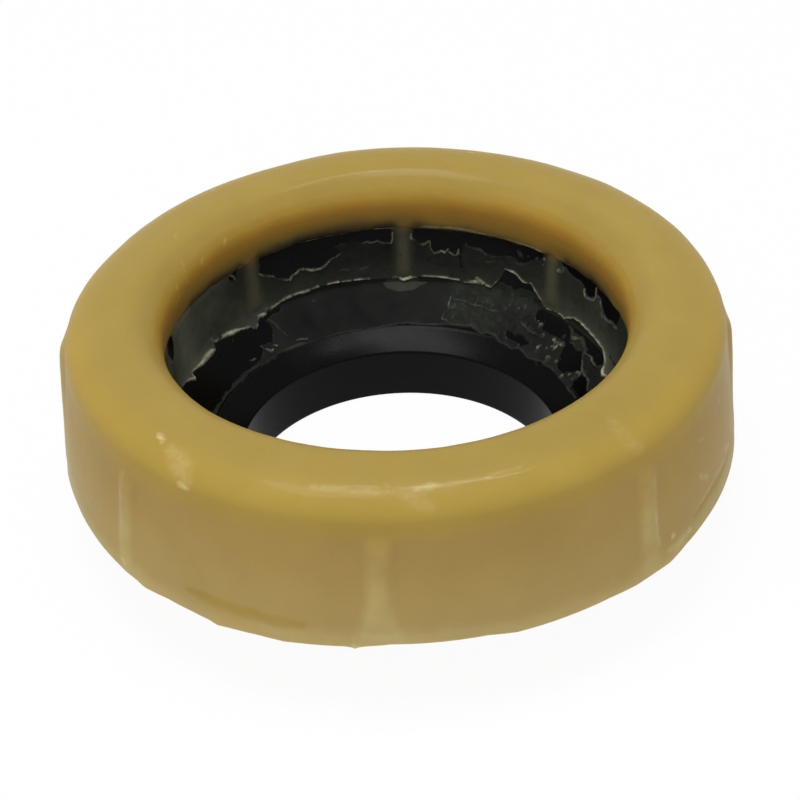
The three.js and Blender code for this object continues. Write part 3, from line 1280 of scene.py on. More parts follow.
        # Creases: the real grooves, and where their painted shade lies
        crease = self._strokes(self.creases)
        shape = swell - thinned * smooth_step(*form.edge_span, arc) + self._sag() + rise
        shape = shape - form.groove * crease
        wall = smooth_step(*tones.wall_span, arc)
        warm = smooth_step(*tones.shoulder_start, arc) * smooth_step(*tones.shoulder_end, arc)
        foot = smooth_step(length - tones.foot_reach, length, arc + tones.foot_wander * fine)
        rim = self.lip * smooth_step(*tones.rim_span, arc) * smooth_step(*tones.rim_breaks, fine)
        dull = tones.dulling * smooth_step(*tones.dull_angles, self.aside(tones.dull_azimuth))
        glossy = smooth_step(*tones.gloss_span, arc) * (1.0 - tones.wall_dulling * wall)
        masks = {
            "depth": self._depth(),
            "wall": wall + 0.0 * azimuth,
            # Painted highlight on the ribs
            "rib": np.clip(tones.rib * hump * (1.0 + tones.rib_patches * fine), 0.0, 1.0),
            # Painted bounce light from the floor, near the foot and over the lower wall
            "foot": tones.foot * foot + tones.low_wall * smooth_step(*tones.low_wall_span, arc),
            # Pale scrapes and the pale lip, with the painted highlight line on the front of the dome
            "scuff_and_highlight": np.maximum(scuff_and_highlight, tones.rim * rim),
            # Painted shade in the creases
            "crease": tones.crease * crease,
            # Shoulder band, partly painted light
            "shoulder": tones.shoulder * warm + 0.0 * azimuth,
            "gloss": glossy * (1.0 - dull),
        }
        return shape, masks

    def _depth(self) -> Array:
        """Works out how deep the wax looks: the arc with its leads, over the golden arc, and a little more
        where a strip leaves the ring.

        Returns:
            The depth, from 0 to 1.
        """
        tones, arc = self.tones, self.arc
        aside = self.aside(tones.back_azimuth)
        lead = tones.lip_lead * self.lip + tones.side_lead * smooth_step(*tones.side_angles, aside)
        lead = lead * smooth_step(*tones.side_span, arc)
        ends = tones.end_lead * smooth_step(*tones.end_angles, aside)
        lead = lead + ends * smooth_step(*tones.end_span, arc)
        patchy = tones.patch_lead * tones.patches.at(self.azimuth, arc) * smooth_step(*tones.patch_span, arc)
        depth = (arc + lead + patchy) / tones.golden_arc
        across = np.abs(angle_from(self.azimuth * tones.strips, 0.0)) / tones.strips * self.degree
        glow = tones.strip_depth * smooth_step(*tones.strip_span, across)
        return np.clip(depth + glow * smooth_step(*tones.strip_span, arc), 0.0, 1.0)

    def _sag(self) -> Array:
        """Shapes the dome's uneven pour: a little low at the back left and a little full at the back right.

        Returns:
            How far the skin stands out for it.
        """
        form = self.form
        band = smooth_step(*form.pour_start, self.arc) * smooth_step(*form.pour_end, self.arc)
        low = smooth_step(*form.low_span, self.aside(form.low_azimuth))
        full = smooth_step(*form.full_span, self.aside(form.full_azimuth))
        return band * (form.full_rise * full - form.low_depth * low)

    def _ribs(self) -> tuple[Array, Array]:
        """Shapes flat-topped ribs: a cubic rise over the flank on either side of each rib's half width.

        Returns:
            Where the ribs are, from 0 to 1, and how far they stand out.
        """
        arc = self.arc
        hump = np.zeros(np.broadcast(self.azimuth, arc).shape)
        rise = hump.copy()
        height = np.interp(arc, *zip(*self.rib_heights))
        seen_start, seen_whole = self.tones.rib_start
        for rib in self.ribs:
            centre = rib.top + (rib.foot - rib.top) * smooth_step(*self.form.rib_lean, arc)
            half = np.interp(arc, *zip(*rib.half_widths))
            across = np.abs(np.radians(angle_from(self.azimuth, centre))) * self.sizes.foot_radius
            flat = smooth_step(half + 0.5 * rib.flank, half - 0.5 * rib.flank, across)
            hump = np.maximum(hump, flat * smooth_step(rib.start + seen_start, rib.start + seen_whole, arc))
            out = rib.height * height * smooth_step(rib.start, rib.start + self.form.rib_start, arc)
            out = out + rib.foot_rise * smooth_step(*self.form.rib_foot, arc)
            rise = np.maximum(rise, flat * out)
        return hump, rise

    def _strokes(self, strokes: Sequence[Stroke]) -> Array:
        """Draws strokes on the skin, strongest on their paths and fading as a parabola to their sides.

        Args:
            strokes: The strokes to draw.

        Returns:
            How strong the strokes are, from 0 to 1.
        """
        wander = self.stroke_wander * self.stroke_noise.at(self.azimuth, self.arc)
        x = angle_from(self.azimuth, self.front) * self.degree + wander
        y = self.arc + np.roll(wander, self.stroke_shift, axis=1)
        total = np.zeros(x.shape)
        for stroke in strokes:
            path = np.array(stroke.path)
            path[:, 0] = angle_from(path[:, 0], self.front) * self.degree
            total = np.maximum(total, stroke.strength * path_ridge(x, y, path) ** 2)
        return total

    def _underside(self, dent: Array) -> Array:
        """Shapes the rounded foot edge, the flat underside and the slot round the collar and its rim.

        Args:
            dent: How far the foot is moved out at each azimuth.

        Returns:
            The grid's rows from the foot back to the wax ring's edge.
        """
        sizes = self.sizes
        clear = self.slot_clearance
        radius, base, edge = sizes.foot_radius, sizes.underside_height, self.foot_edge
        foot = bend((radius, base + edge), (radius, base), (radius - edge, base), 2)[1:]
        line = sizes.funnel_line()
        start = np.interp(base, line.points[:, 1], line.distances) + self.slot_start
        outer_marks = np.linspace(start, line.length, self.outer_slot_rows)
        outer = line.beside(outer_marks, sizes.funnel_wall + clear)
        outer[0, 1] = base
        end = np.interp(sizes.wax_edge_height, line.points[:, 1], line.distances)
        inner = line.beside(np.linspace(line.length, end, self.inner_slot_rows), -clear)
        level = np.linspace(foot[-1], outer[0], self.underside_rows)[1:-1]
        tip = np.array([[line.points[-1, 0] + clear, sizes.rim_height - sizes.funnel_wall * 0.5]])
        section = np.concatenate([foot, level, outer, tip, inner])
        fade = smooth_step(sizes.crown_radius, sizes.shoulder_radius, section[:, :1])
        fade[len(foot) + len(level):] = 0.0
        return turned(self.azimuth, section[:, :1] + dent * fade, section[:, 1:])


@dataclass(frozen=True)
class Thread:
    """A raised thread of wax: a path of azimuth, drop and width, its height and how deep it looks."""

    path: tuple[SizedPlace, ...]
    height: float
    depth: float


@dataclass(frozen=True)
class Dab:
    """A lump of wax on the film: azimuth, drop, size, and how deep it looks."""

    azimuth: float
    drop: float
    size: float
    depth: float


@dataclass(frozen=True)
class Bead:
    """The rolled bead along a film's edge: how high it stands, and how deep it looks where it is thin and
    where it is wide.
    """

    height: float
    thin: float
    thick: float


@dataclass(frozen=True)
class Cover:
    """How laid wax covers a film: the shares of its rounded height between which it turns from none to whole,
    and those between which it hides what lies below.
    """

    solid: Span
    hiding: Span


@dataclass
class FilmLayers:
    """A film's values over its grid: where there is wax, from 0 to 1, how thick it stands, how deep it looks,
    and how pale it is, from golden at 0.
    """

    film: Array
    thickness: Array
    depth: Array
    pale: Array

    def lay(self, cover: Cover, shape: Array, rise: Array, look: Array,
            kept: Array | float = 1.0) -> None:
        """Lays more wax over the film.

        Args:
            cover: How it covers the film.
            shape: Its rounded height, from 0 to 1.
            rise: How thick it stands.
            look: How deep it looks.
            kept: The share of it that has stayed on.
        """
        self.thickness = np.maximum(self.thickness, rise)
        self.depth = self.depth + (look - self.depth) * smooth_step(*cover.hiding, shape) * kept
        self.film = np.maximum(self.film, smooth_step(*cover.solid, shape) * kept)


@dataclass
class FilmBand:
    """A stretch of torn wax film on the funnel's inner face, between two drops.

    Noise wears its bead, its threads and its dabs. What is kept is a span of that noise, where wax sets in
    and where it is whole.
    """

    sizes: SealSizes
    name: str
    top: float
    bottom: float
    rows: int
    bead: Bead
    seed: int = 41
    threads: tuple[Thread, ...] = ()
    dabs: tuple[Dab, ...] = ()
    seen_side: Span = (8.0, 178.0)
    columns_seen: int = 860
    columns_rest: int = 370
    back: float = -0.3
    back_rows: int = 5
    bare: float = -0.08
    degree: float = math.radians(1.0) * FILM_RADIUS
    grit: Noise = Noise(1.3, 0, 3, FILM_RADIUS)
    tearing: Noise = Noise(2.4, 50, 4, FILM_RADIUS)
    tear_wander: float = 0.26
    tear_shift: int = 53
    lumping: float = 0.3
    bead_wear: Noise = Noise(1.9, 20, 3, FILM_RADIUS)
    bead_width: float = 0.85
    bead_least: float = 0.05
    bead_reach: float = 0.62
    bead_start: Span = (0.08, 0.3)
    bead_kept: Span = (-1.0, -0.3)
    bead_widening: Span = (0.4, 1.2)
    bead_fading: float = 0.22
    bead_cover: Cover = Cover((0.1, 0.5), (0.2, 0.85))
    thread_wear: Noise = Noise(2.3, 30, 3, FILM_RADIUS)
    thread_width: float = 0.8
    thread_kept: Span = (-0.9, 0.25)
    thread_look: float = 0.56
    thread_fading: float = 0.34
    thread_cover: Cover = Cover((0.05, 0.4), (0.15, 0.9))
    dab_outline: float = 0.75
    dab_look: float = 0.6
    dab_fading: float = 0.4
    dab_height: float = 0.3
    dab_lumping: float = 0.5
    dab_cover: Cover = Cover((0.05, 0.4), (0.1, 0.8))

    def __post_init__(self) -> None:
        """Lays out the band's grid, closer together on the side that is seen best, and finds where it lies on
        the flat, moved a little by noise so that tears run ragged.
        """
        azimuth = round_seal(self.seen_side, self.columns_seen, self.columns_rest)
        drop = np.linspace(self.top, self.bottom, self.rows)[:, None]
        self.azimuth, self.drop = azimuth + 0.0 * drop, drop + 0.0 * azimuth
        wander = self.tear_wander * self.wear_and_painted_light(self.tearing)
        self.x = self.azimuth * self.degree + wander
        self.far_x = self.x - 360.0 * self.degree
        self.y = self.drop + np.roll(wander, self.tear_shift, axis=1)

    def wear_and_painted_light(self, noise: Noise) -> Array:
        """Reads a noise over the grid with the band's own seed."""
        return noise.at(self.azimuth, self.drop, self.seed)

    def mesh(self, layers: FilmLayers) -> bpy.types.Object:
        """Closes the film: its face at its thickness, below the plastic's face where that is bare, and its
        back inside the funnel's wall.

        Args:
            layers: The film's values.

        Returns:
            The film.
        """
        rows = np.linspace(self.rows - 1, 0, self.back_rows).round().astype(int)
        lift = layers.film * layers.thickness + self.bare * (1.0 - layers.film)
        front = self.place(self.azimuth, self.drop, lift)
        azimuth, drop = self.azimuth[rows], self.drop[rows]
        back = self.place(azimuth, drop, np.full(azimuth.shape, self.back))
        masks = {"depth": np.clip(layers.depth, 0.0, 1.0), "pale": np.clip(layers.pale, 0.0, 1.0)}
        masks = {key: np.concatenate([values, values[rows]]) for key, values in masks.items()}
        return ring_piece(self.name, np.concatenate([front, back]), masks)

    def place(self, azimuth: Array, drop: Array, lift: Array) -> Array:
        """Places points above the funnel's face: the face's point at the drop, moved by the lift.

        Args:
            azimuth: Angles round the seal.
            drop: Distances down the face from the wax ring's edge.
            lift: Distances from the face towards the bore.

        Returns:
            The points in millimetres.
        """
        line = self.sizes.funnel_line()
        distance = np.interp(self.sizes.wax_edge_height, line.points[:, 1], line.distances) - drop
        radius, height = line.at(distance)
        right = line.right(distance)
        return turned(azimuth, radius - lift * right[0], height - lift * right[1])

    def flat(self, places: Sequence[Sequence[float]]) -> Array:
        """Turns places into millimetres on the flat.

        Args:
            places: Rows of azimuth and drop, and maybe width.

        Returns:
            The rows, with distances in place of azimuths.
        """
        rows = np.array(places, float)
        rows[:, 0] *= self.degree
        return rows

    def within(self, places: Sequence[Place]) -> Array:
        """Measures how far inside an outline the grid lies. The outline may be on either side of azimuth 0.

        Args:
            places: The outline's corners, as azimuth and drop.

        Returns:
            The distances, negative outside.
        """
        outline = self.flat(places)
        near = outline_distance(self.x, self.y, outline)
        return np.maximum(near, outline_distance(self.far_x, self.y, outline))

    def lay_edge(self, layers: FilmLayers, edge: Sequence[SizedPlace]) -> None:
        """Lays the rolled bead along an edge line: a half ellipse across its width, broken where the noise is
        low, and paler where it is wide.

        Args:
            layers: The film's values, which it changes.
            edge: The edge as azimuth, drop and the bead's width.
        """
        bead = self.bead
        width = np.maximum(self.bead_width * read_list(self.azimuth, edge, 2), self.bead_least)
        middle = (read_list(self.azimuth, edge) - self.drop - width * 0.5) / (width * self.bead_reach)
        shape = np.sqrt(np.clip(1.0 - middle ** 2, 0.0, 1.0)) * smooth_step(*self.bead_start, width)
        wear_and_painted_light = self.wear_and_painted_light(self.bead_wear)
        look = bead.thin + (bead.thick - bead.thin) * smooth_step(*self.bead_widening, width)
        look = look * (1.0 + self.bead_fading * wear_and_painted_light)
        rise = bead.height * shape * (1.0 + self.lumping * wear_and_painted_light)
        layers.lay(self.bead_cover, shape, rise, look, smooth_step(*self.bead_kept, wear_and_painted_light))

    def lay_threads(self, layers: FilmLayers) -> None:
        """Lays the threads. They wander, thin out and fade with the noise.

        Args:
            layers: The film's values, which it changes.
        """
        wear_and_painted_light = self.wear_and_painted_light(self.thread_wear)
        kept = smooth_step(*self.thread_kept, wear_and_painted_light)
        for thread in self.threads:
            path = self.flat(thread.path)
            path[:, 2] *= self.thread_width
            ridge = np.maximum(path_ridge(self.x, self.y, path), path_ridge(self.far_x, self.y, path))
            look = thread.depth * (self.thread_look + self.thread_fading * wear_and_painted_light)
            rise = thread.height * ridge * (1.0 + self.lumping * wear_and_painted_light)
            layers.lay(self.thread_cover, ridge, rise, look, kept)

    def lay_dabs(self, layers: FilmLayers) -> None:
        """Lays the dabs, as half balls with an uneven outline.

        Args:
            layers: The film's values, which it changes.
        """
        rough = self.wear_and_painted_light(self.grit)
        for dab in self.dabs:
            across = angle_from(self.azimuth, dab.azimuth) * self.degree
            reach = np.hypot(across, self.drop - dab.drop) / (0.5 * dab.size)
            reach = reach * (1.0 + self.dab_outline * rough)
            lump = np.sqrt(np.clip(1.0 - reach ** 2, 0.0, 1.0))
            look = dab.depth * (self.dab_look + self.dab_fading * rough)
            rise = self.dab_height * dab.size * lump * (1.0 + self.dab_lumping * rough)
            layers.lay(self.dab_cover, lump, rise, look)


@dataclass
class CollarFilm(FilmBand):
    """The film on the upright collar, with torn windows, eight strips and a thick pale lower edge.

    Away from the left it looks deeper low down and thinner high up; on the left it looks deeper at the top.
    """

    name: str = "collar_wax_film"
    top: float = -1.2
    bottom: float = 17.6
    rows: int = 74
    bead: Bead = Bead(0.5, 0.62, 0.68)
    clouds: Noise = Noise(5.0, 51, 2, FILM_RADIUS)
    edge_ragged: float = 0.1
    window_ragged: float = 0.16
    film_blur: Span = (-0.12, 0.1)
    skin: float = 0.16
    skin_clouds: float = 0.04
    skin_grit: float = 0.02
    shade_clouds: float = 0.035
    shade_grit: float = 0.02
    left_start: Span = (136.0, 146.0)
    left_end: Span = (220.0, 190.0)
    low_shade: float = 0.1
    low_span: Span = (6.5, 11.5)
    high_shade: float = 0.03
    high_span: Span = (7.0, 3.0)
    left_shade: float = 0.1
    left_span: Span = (2.5, 0.0)
    under_ring: Span = (-1.1, 0.3)
    strip_half_width: float = 1.8
    strip_blur: float = 1.6
    strip_body: Span = (0.6, -0.2)
    strip_end: Span = (13.2, 11.8)
    strip_golden: float = 0.06
    strip_more_golden: float = 0.34
    strip_golden_span: Span = (2.0, -0.7)
    edge: tuple[SizedPlace, ...] = (
        (180, 13.0, 0.3), (172.3, 13.7, 0.3), (170, 14.0, 0.3), (168, 14.7, 0.6), (166.5, 15.6, 0.6),
        (165.2, 14.0, 0.3), (163, 14.4, 0.4), (160, 15.0, 1.0), (157, 15.0, 1.4), (154, 15.1, 1.5),
        (153, 14.9, 0.5), (152, 13.3, 0.6), (151, 13.6, 0.7), (149, 13.8, 1.0), (147, 14.0, 1.1),
        (145, 14.5, 1.3), (143, 14.5, 0.9), (141.5, 14.7, 0.5), (140, 15.0, 0.3), (138.5, 15.1, 0.35),
        (138, 15.8, 0.5), (137, 16.1, 0.6), (136, 15.7, 0.5), (135.3, 15.0, 0.3), (134.6, 14.2, 0.8),
        (133.2, 14.5, 1.1), (132, 14.3, 0.5), (131.6, 13.7, 0.9), (130, 13.8, 0.8), (129.5, 13.7, 0.6),
        (127, 13.3, 0.7), (125, 12.9, 0.8), (123, 12.9, 0.9), (121, 12.6, 0.7), (119, 12.9, 0.8),
        (117, 12.6, 0.7), (115, 12.4, 0.6), (114.4, 12.3, 0.1), (112.6, 12.3, 0.15), (112, 12.3, 0.6),
        (108.9, 12.3, 0.5), (108.5, 12.4, 0.1), (108, 12.4, 0.5), (105.6, 12.5, 0.4), (105.1, 12.5, 0.1),
        (104.7, 12.5, 0.5), (100.5, 12.7, 0.45), (100, 12.7, 0.1), (94.5, 12.8, 0.15), (93, 12.9, 0.6),
        (91, 13.7, 1.0), (89, 13.1, 0.9), (88, 12.9, 0.3), (86.2, 12.5, 0.2), (85.8, 12.5, 0.5),
        (80, 12.6, 0.55), (75.4, 12.8, 0.5), (75, 12.9, 0.1), (73, 13.1, 0.4), (71.3, 13.0, 1.0),
        (69.5, 12.9, 1.8), (67.8, 13.1, 1.0), (66, 13.2, 0.4), (65, 12.0, 0.4), (64, 10.9, 0.4),
        (63, 9.6, 0.4), (62, 7.4, 0.4), (60.5, 7.6, 0.5), (59, 7.8, 0.6), (57.7, 8.3, 0.5), (56.5, 9.4, 0.7),
        (55, 9.5, 0.6), (53.5, 9.2, 0.5), (52.2, 10.8, 1.0), (51, 11.8, 0.9), (50, 12.3, 0.4),
        (49.4, 13.2, 0.2), (47.5, 13.6, 0.3), (46, 13.5, 0.25), (44, 13.2, 0.25), (42.5, 13.4, 0.4),
        (41, 13.8, 0.4), (40.3, 13.4, 0.6), (39, 12.9, 0.6), (37.5, 12.3, 0.6), (35, 12.2, 0.6),
        (32, 12.6, 0.65), (29, 12.9, 0.6), (25, 13.2, 0.6), (22.5, 13.5, 0.6), (20.5, 14.2, 0.6),
        (19, 15.0, 0.8), (18, 15.9, 1.0), (17, 16.8, 1.1), (15.8, 17.1, 1.0), (14.5, 16.6, 0.7),
        (10, 14.6, 0.5), (2, 13.6, 0.6), (-8, 14.2, 0.9), (-17, 13.1, 0.4), (-30, 13.8, 0.8),
        (-41, 14.6, 1.1), (-46, 13.4, 0.3), (-60, 12.6, 0.5), (-72, 13.4, 0.9), (-88, 13.9, 1.0),
        (-97, 12.7, 0.3), (-112, 13.0, 0.7), (-124, 14.1, 1.2), (-135, 13.6, 0.4), (-147, 12.6, 0.5),
        (-160, 13.3, 0.8), (-171, 14.0, 0.5),
    )
    shades: tuple[Place, ...] = (
        (8, 0.18), (20, 0.22), (30, 0.24), (40, 0.19), (47, 0.13), (56, 0.1), (80, 0.08), (95, 0.08),
        (110, 0.08), (125, 0.1), (131, 0.14), (140, 0.19), (148, 0.25), (158, 0.33), (163, 0.42), (167, 0.4),
        (174, 0.28), (200, 0.2), (230, 0.24), (270, 0.16), (310, 0.22), (340, 0.16),
    )
    strips: tuple[Place, ...] = (
        (134.4, 0.01), (90.7, 0.0), (46.8, 0.04), (0.0, 0.0), (-45.0, 0.03), (-90.0, 0.0), (-135.0, -0.02),
        (180.0, 0.0),
    )
    strip_looks: tuple[Place, ...] = ((-1.2, 0.27), (0.5, 0.24), (3.0, 0.29), (7.0, 0.31), (9.5, 0.32))
    strip_rises: tuple[Place, ...] = ((-1.2, 0.05), (0.0, 0.25), (3.0, 0.42), (11.0, 0.5), (13.0, 0.3))
    windows: tuple[tuple[Place, ...], ...] = (
        ((131.6, 0.1), (131.8, 3.6), (131, 4.4), (129.5, 5.0), (128, 5.8), (126.5, 7.1), (124.5, 7.6),
         (123, 7.8), (121.8, 7.0), (120, 6.5), (118, 6.8), (116, 7.1), (114, 7.1), (112.5, 6.8), (110, 5.8),
         (107.8, 4.9), (108.3, 4.2), (109.3, 3.0), (107, 2.8), (105, 2.2), (103, 2.9), (101, 3.0), (99, 2.7),
         (97.8, 2.9), (96.5, 3.5), (94.2, 3.4), (93.7, 2.5), (93.8, 0.1)),
        ((87.9, 0.3), (88.0, 2.0), (87.3, 3.0), (86.6, 3.8), (85.5, 4.0), (84.5, 3.8), (83.3, 3.7), (83, 5.0),
         (82.5, 5.8), (81, 5.4), (79.8, 5.2), (79, 5.6), (78.4, 4.6), (77.8, 5.4), (76.5, 6.2), (75.8, 5.9),
         (75.6, 4.6), (75.1, 5.8), (74.9, 9.4), (74.5, 9.4), (74.4, 4.0), (73.4, 3.2), (72.6, 3.7), (70, 3.8),
         (67.3, 4.5), (65, 4.7), (63, 4.3), (60.5, 4.0), (58, 4.7), (55.5, 4.1), (53, 2.6), (51, 2.2),
         (49.8, 1.2), (49.6, 0.1)),
        ((142.6, 0.3), (142.2, 1.6), (140.6, 2.5), (139.2, 2.2), (139.4, 0.3)),
        ((177, 0.0), (176.6, 3.0), (175.2, 5.4), (173.4, 6.0), (171.8, 4.8), (171.6, 0.0)),
        ((43.4, 0.0), (43.0, 1.0), (41, 1.7), (38, 2.0), (35, 2.4), (33.6, 4.0), (32, 4.3), (30.2, 3.4),
         (28.6, 2.4), (26.6, 2.4), (26.0, 3.6), (25, 5.0), (22.5, 5.3), (19.4, 4.3), (17, 4.6), (15.8, 2.4),
         (14.5, 0.0)),
        ((-12, 0.2), (-14, 3.6), (-20, 5.2), (-27, 4.2), (-33, 5.6), (-38, 3.4), (-39, 0.2)),
        ((-50, 0.2), (-52, 2.8), (-60, 3.9), (-70, 6.4), (-78, 5.2), (-84, 2.9), (-86, 0.2)),
        ((-96, 0.2), (-97, 4.1), (-104, 6.2), (-112, 4.4), (-121, 3.2), (-122, 0.2)),
        ((-141, 0.2), (-142, 3.2), (-150, 4.8), (-158, 3.0), (-160, 0.2)),
    )
    threads: tuple[Thread, ...] = (
        Thread(((132, 3.7, 0.5), (131, 4.6, 0.6), (129.5, 5.2, 0.3), (128, 6.0, 0.4), (126.5, 7.3, 0.5),
                (124.5, 7.8, 0.4), (123, 8.0, 0.45), (121.8, 7.2, 0.6), (120, 6.7, 0.6), (118, 7.1, 0.9),
                (116, 7.5, 0.9), (114, 7.5, 0.8), (112.5, 7.1, 0.6), (110, 6.0, 0.4), (107.6, 5.1, 0.4)),
               0.45, 0.82),
        Thread(((101.5, 3.2, 0.3), (99, 2.9, 0.5), (97.8, 3.1, 0.5), (96.5, 3.7, 0.4), (94, 3.6, 0.5),
                (93.4, 2.5, 0.4), (93.5, 0.8, 0.4)), 0.4, 0.7),
        Thread(((88.3, 1.2, 0.4), (88.2, 2.4, 0.9), (87.5, 3.2, 0.4), (86.8, 4.0, 0.5), (85.5, 4.2, 0.6),
                (84.5, 4.0, 0.5), (83.2, 3.0, 0.5), (83, 5.3, 0.3), (82.5, 6.1, 0.4), (81, 5.7, 0.45),
                (79.8, 5.4, 0.5), (79, 6.0, 0.5), (78.4, 4.8, 0.4), (77.8, 5.7, 0.4), (76.5, 6.5, 0.7),
                (75.8, 6.2, 0.5), (75.6, 4.6, 0.5), (75.3, 6.0, 0.6), (74.9, 6.1, 0.4)), 0.42, 0.78),
        Thread(((73.8, 3.3, 0.5), (73.3, 4.0, 0.7), (73.2, 5.0, 0.5)), 0.4, 0.55),
        Thread(((73, 4.1, 0.4), (70, 4.0, 0.45), (67.3, 4.8, 0.5)), 0.3, 0.55),
        Thread(((66, 5.0, 0.3), (63, 4.5, 0.4), (60.5, 4.2, 0.3)), 0.28, 0.5),
        Thread(((73, 6.5, 0.5), (70, 6.8, 0.6), (67.5, 6.5, 0.5), (64, 5.7, 0.4), (61, 5.0, 0.4),
                (58, 5.1, 0.4), (55, 4.3, 0.4), (54, 3.0, 0.3)), 0.22, 0.4),
        Thread(((112, 9.7, 0.7), (108, 9.4, 0.8), (104, 9.6, 0.9), (100, 9.4, 0.8), (97, 9.2, 0.6),
                (94, 8.9, 0.5)), 0.2, 0.36),
        Thread(((142, 0.3, 0.5), (141, 1.0, 0.5), (140, 2.0, 0.6)), 0.4, 0.75),
        Thread(((34.4, 3.0, 0.4), (34, 4.5, 0.5), (32.5, 4.8, 0.4), (31, 4.5, 0.5), (29.5, 3.9, 0.5),
                (28.6, 2.8, 0.5), (28.8, 0.5, 0.4)), 0.35, 0.9),
        Thread(((28.6, 2.8, 0.4), (27.5, 2.7, 0.3)), 0.3, 0.7),
        Thread(((26.5, 3.0, 0.4), (26.3, 4.0, 0.6), (25.8, 5.0, 0.5), (25.2, 6.2, 0.6), (24, 5.7, 0.5),
                (22.5, 5.8, 0.4), (20.5, 5.0, 0.4), (18.5, 4.8, 0.5), (17.3, 5.2, 0.8), (16, 4.5, 0.8),
                (14, 3.8, 0.5)), 0.38, 0.95),
        Thread(((180, 2.6, 0.5), (177, 4.6, 0.7), (174, 6.9, 0.6), (172, 7.8, 0.4)), 0.3, 0.62),
        Thread(((179, 4.6, 0.3), (176, 6.8, 0.4), (173.5, 8.2, 0.3)), 0.25, 0.52),
        Thread(((-12, 3.0, 0.4), (-15, 4.2, 0.5), (-20, 5.5, 0.6), (-27, 4.5, 0.4), (-33, 5.9, 0.7),
                (-38, 3.7, 0.4)), 0.4, 0.75),
        Thread(((-52, 3.0, 0.4), (-60, 4.2, 0.5), (-70, 6.7, 0.7), (-78, 5.5, 0.4), (-84, 3.1, 0.4)),
               0.4, 0.75),
        Thread(((-97, 4.3, 0.4), (-104, 6.5, 0.6), (-112, 4.7, 0.4), (-121, 3.4, 0.5)), 0.38, 0.7),
        Thread(((-142, 3.4, 0.4), (-150, 5.1, 0.5), (-158, 3.2, 0.4)), 0.38, 0.7),
    )
    dabs: tuple[Dab, ...] = (
        Dab(44.3, 2.6, 1.5, 0.85), Dab(43.0, 1.9, 1.2, 0.9), Dab(57.5, 2.7, 0.6, 0.75),
        Dab(55, 2.5, 0.5, 0.55), Dab(52, 2.0, 0.6, 0.5), Dab(49.6, 1.4, 0.9, 0.8), Dab(50.0, 3.0, 0.6, 0.55),
        Dab(159, 0.5, 0.8, 0.7), Dab(152.5, 12.3, 1.5, 0.62), Dab(153.8, 12.0, 0.8, 0.6),
        Dab(93.4, 1.2, 0.5, 0.7), Dab(70.2, 11.5, 1.3, 0.85), Dab(68.6, 12.3, 1.0, 0.8),
        Dab(72.6, 12.5, 0.8, 0.55), Dab(174.5, 7.2, 0.6, 0.6), Dab(173.2, 8.1, 0.5, 0.55),
        Dab(172.4, 7.0, 0.5, 0.65), Dab(175.0, 8.8, 0.5, 0.5), Dab(172.0, 9.2, 0.4, 0.5),
    )

    def build(self) -> bpy.types.Object:
        """Works out the film's values over the grid: a base film above its lower edge and outside the
        windows, with the strips, the bead along the edge, the threads and the dabs laid over it.

        Returns:
            The film.
        """
        azimuth, drop = self.azimuth, self.drop
        rough = self.wear_and_painted_light(self.grit)
        soft = self.clouds.at(azimuth, drop)
        inside = read_list(azimuth, self.edge) - drop + self.edge_ragged * rough
        for window in self.windows:
            inside = np.minimum(inside, self.window_ragged * rough - self.within(window))
        depth = read_list(azimuth, self.shades) + self.shade_clouds * soft + self.shade_grit * rough
        left = smooth_step(*self.left_start, azimuth) * smooth_step(*self.left_end, azimuth)
        low = self.low_shade * smooth_step(*self.low_span, drop)
        high = self.high_shade * smooth_step(*self.high_span, drop)
        depth = depth + (1.0 - left) * (low - high)
        depth = depth + self.left_shade * left * smooth_step(*self.left_span, drop)
        layers = FilmLayers(
            film=smooth_step(*self.film_blur, inside),
            thickness=self.skin + self.skin_clouds * soft + self.skin_grit * rough,
            depth=depth,
            pale=np.ones(azimuth.shape),
        )
        self._lay_strips(layers)
        self.lay_edge(layers, self.edge)
        self.lay_threads(layers)
        self.lay_dabs(layers)
        layers.thickness = layers.thickness * smooth_step(*self.under_ring, drop)
        return self.mesh(layers)

    def _lay_strips(self, layers: FilmLayers) -> None:
        """Lays the eight upright strips: soft-edged, golden where they leave the ring and paler below.

        Args:
            layers: The film's values, which it changes.
        """
        drop = self.drop
        half, blur = self.strip_half_width, self.strip_blur
        beyond, whole = self.strip_body
        looks = np.interp(drop, *zip(*self.strip_looks))
        rises = np.interp(drop, *zip(*self.strip_rises))
        end = smooth_step(*self.strip_end, drop)
        golden = self.strip_golden + self.strip_more_golden * smooth_step(*self.strip_golden_span, drop)
        for centre, lighter in self.strips:
            across = np.abs(angle_from(self.azimuth, centre)) * self.degree
            strip = smooth_step(half + blur, half - blur, across)
            body = smooth_step(half + beyond, half + whole, across)
            layers.film = np.maximum(layers.film, body * end)
            layers.thickness = np.maximum(layers.thickness, rises * strip * end)
            layers.depth = layers.depth + (looks + lighter - layers.depth) * strip * end
            layers.pale = layers.pale - strip * end * golden


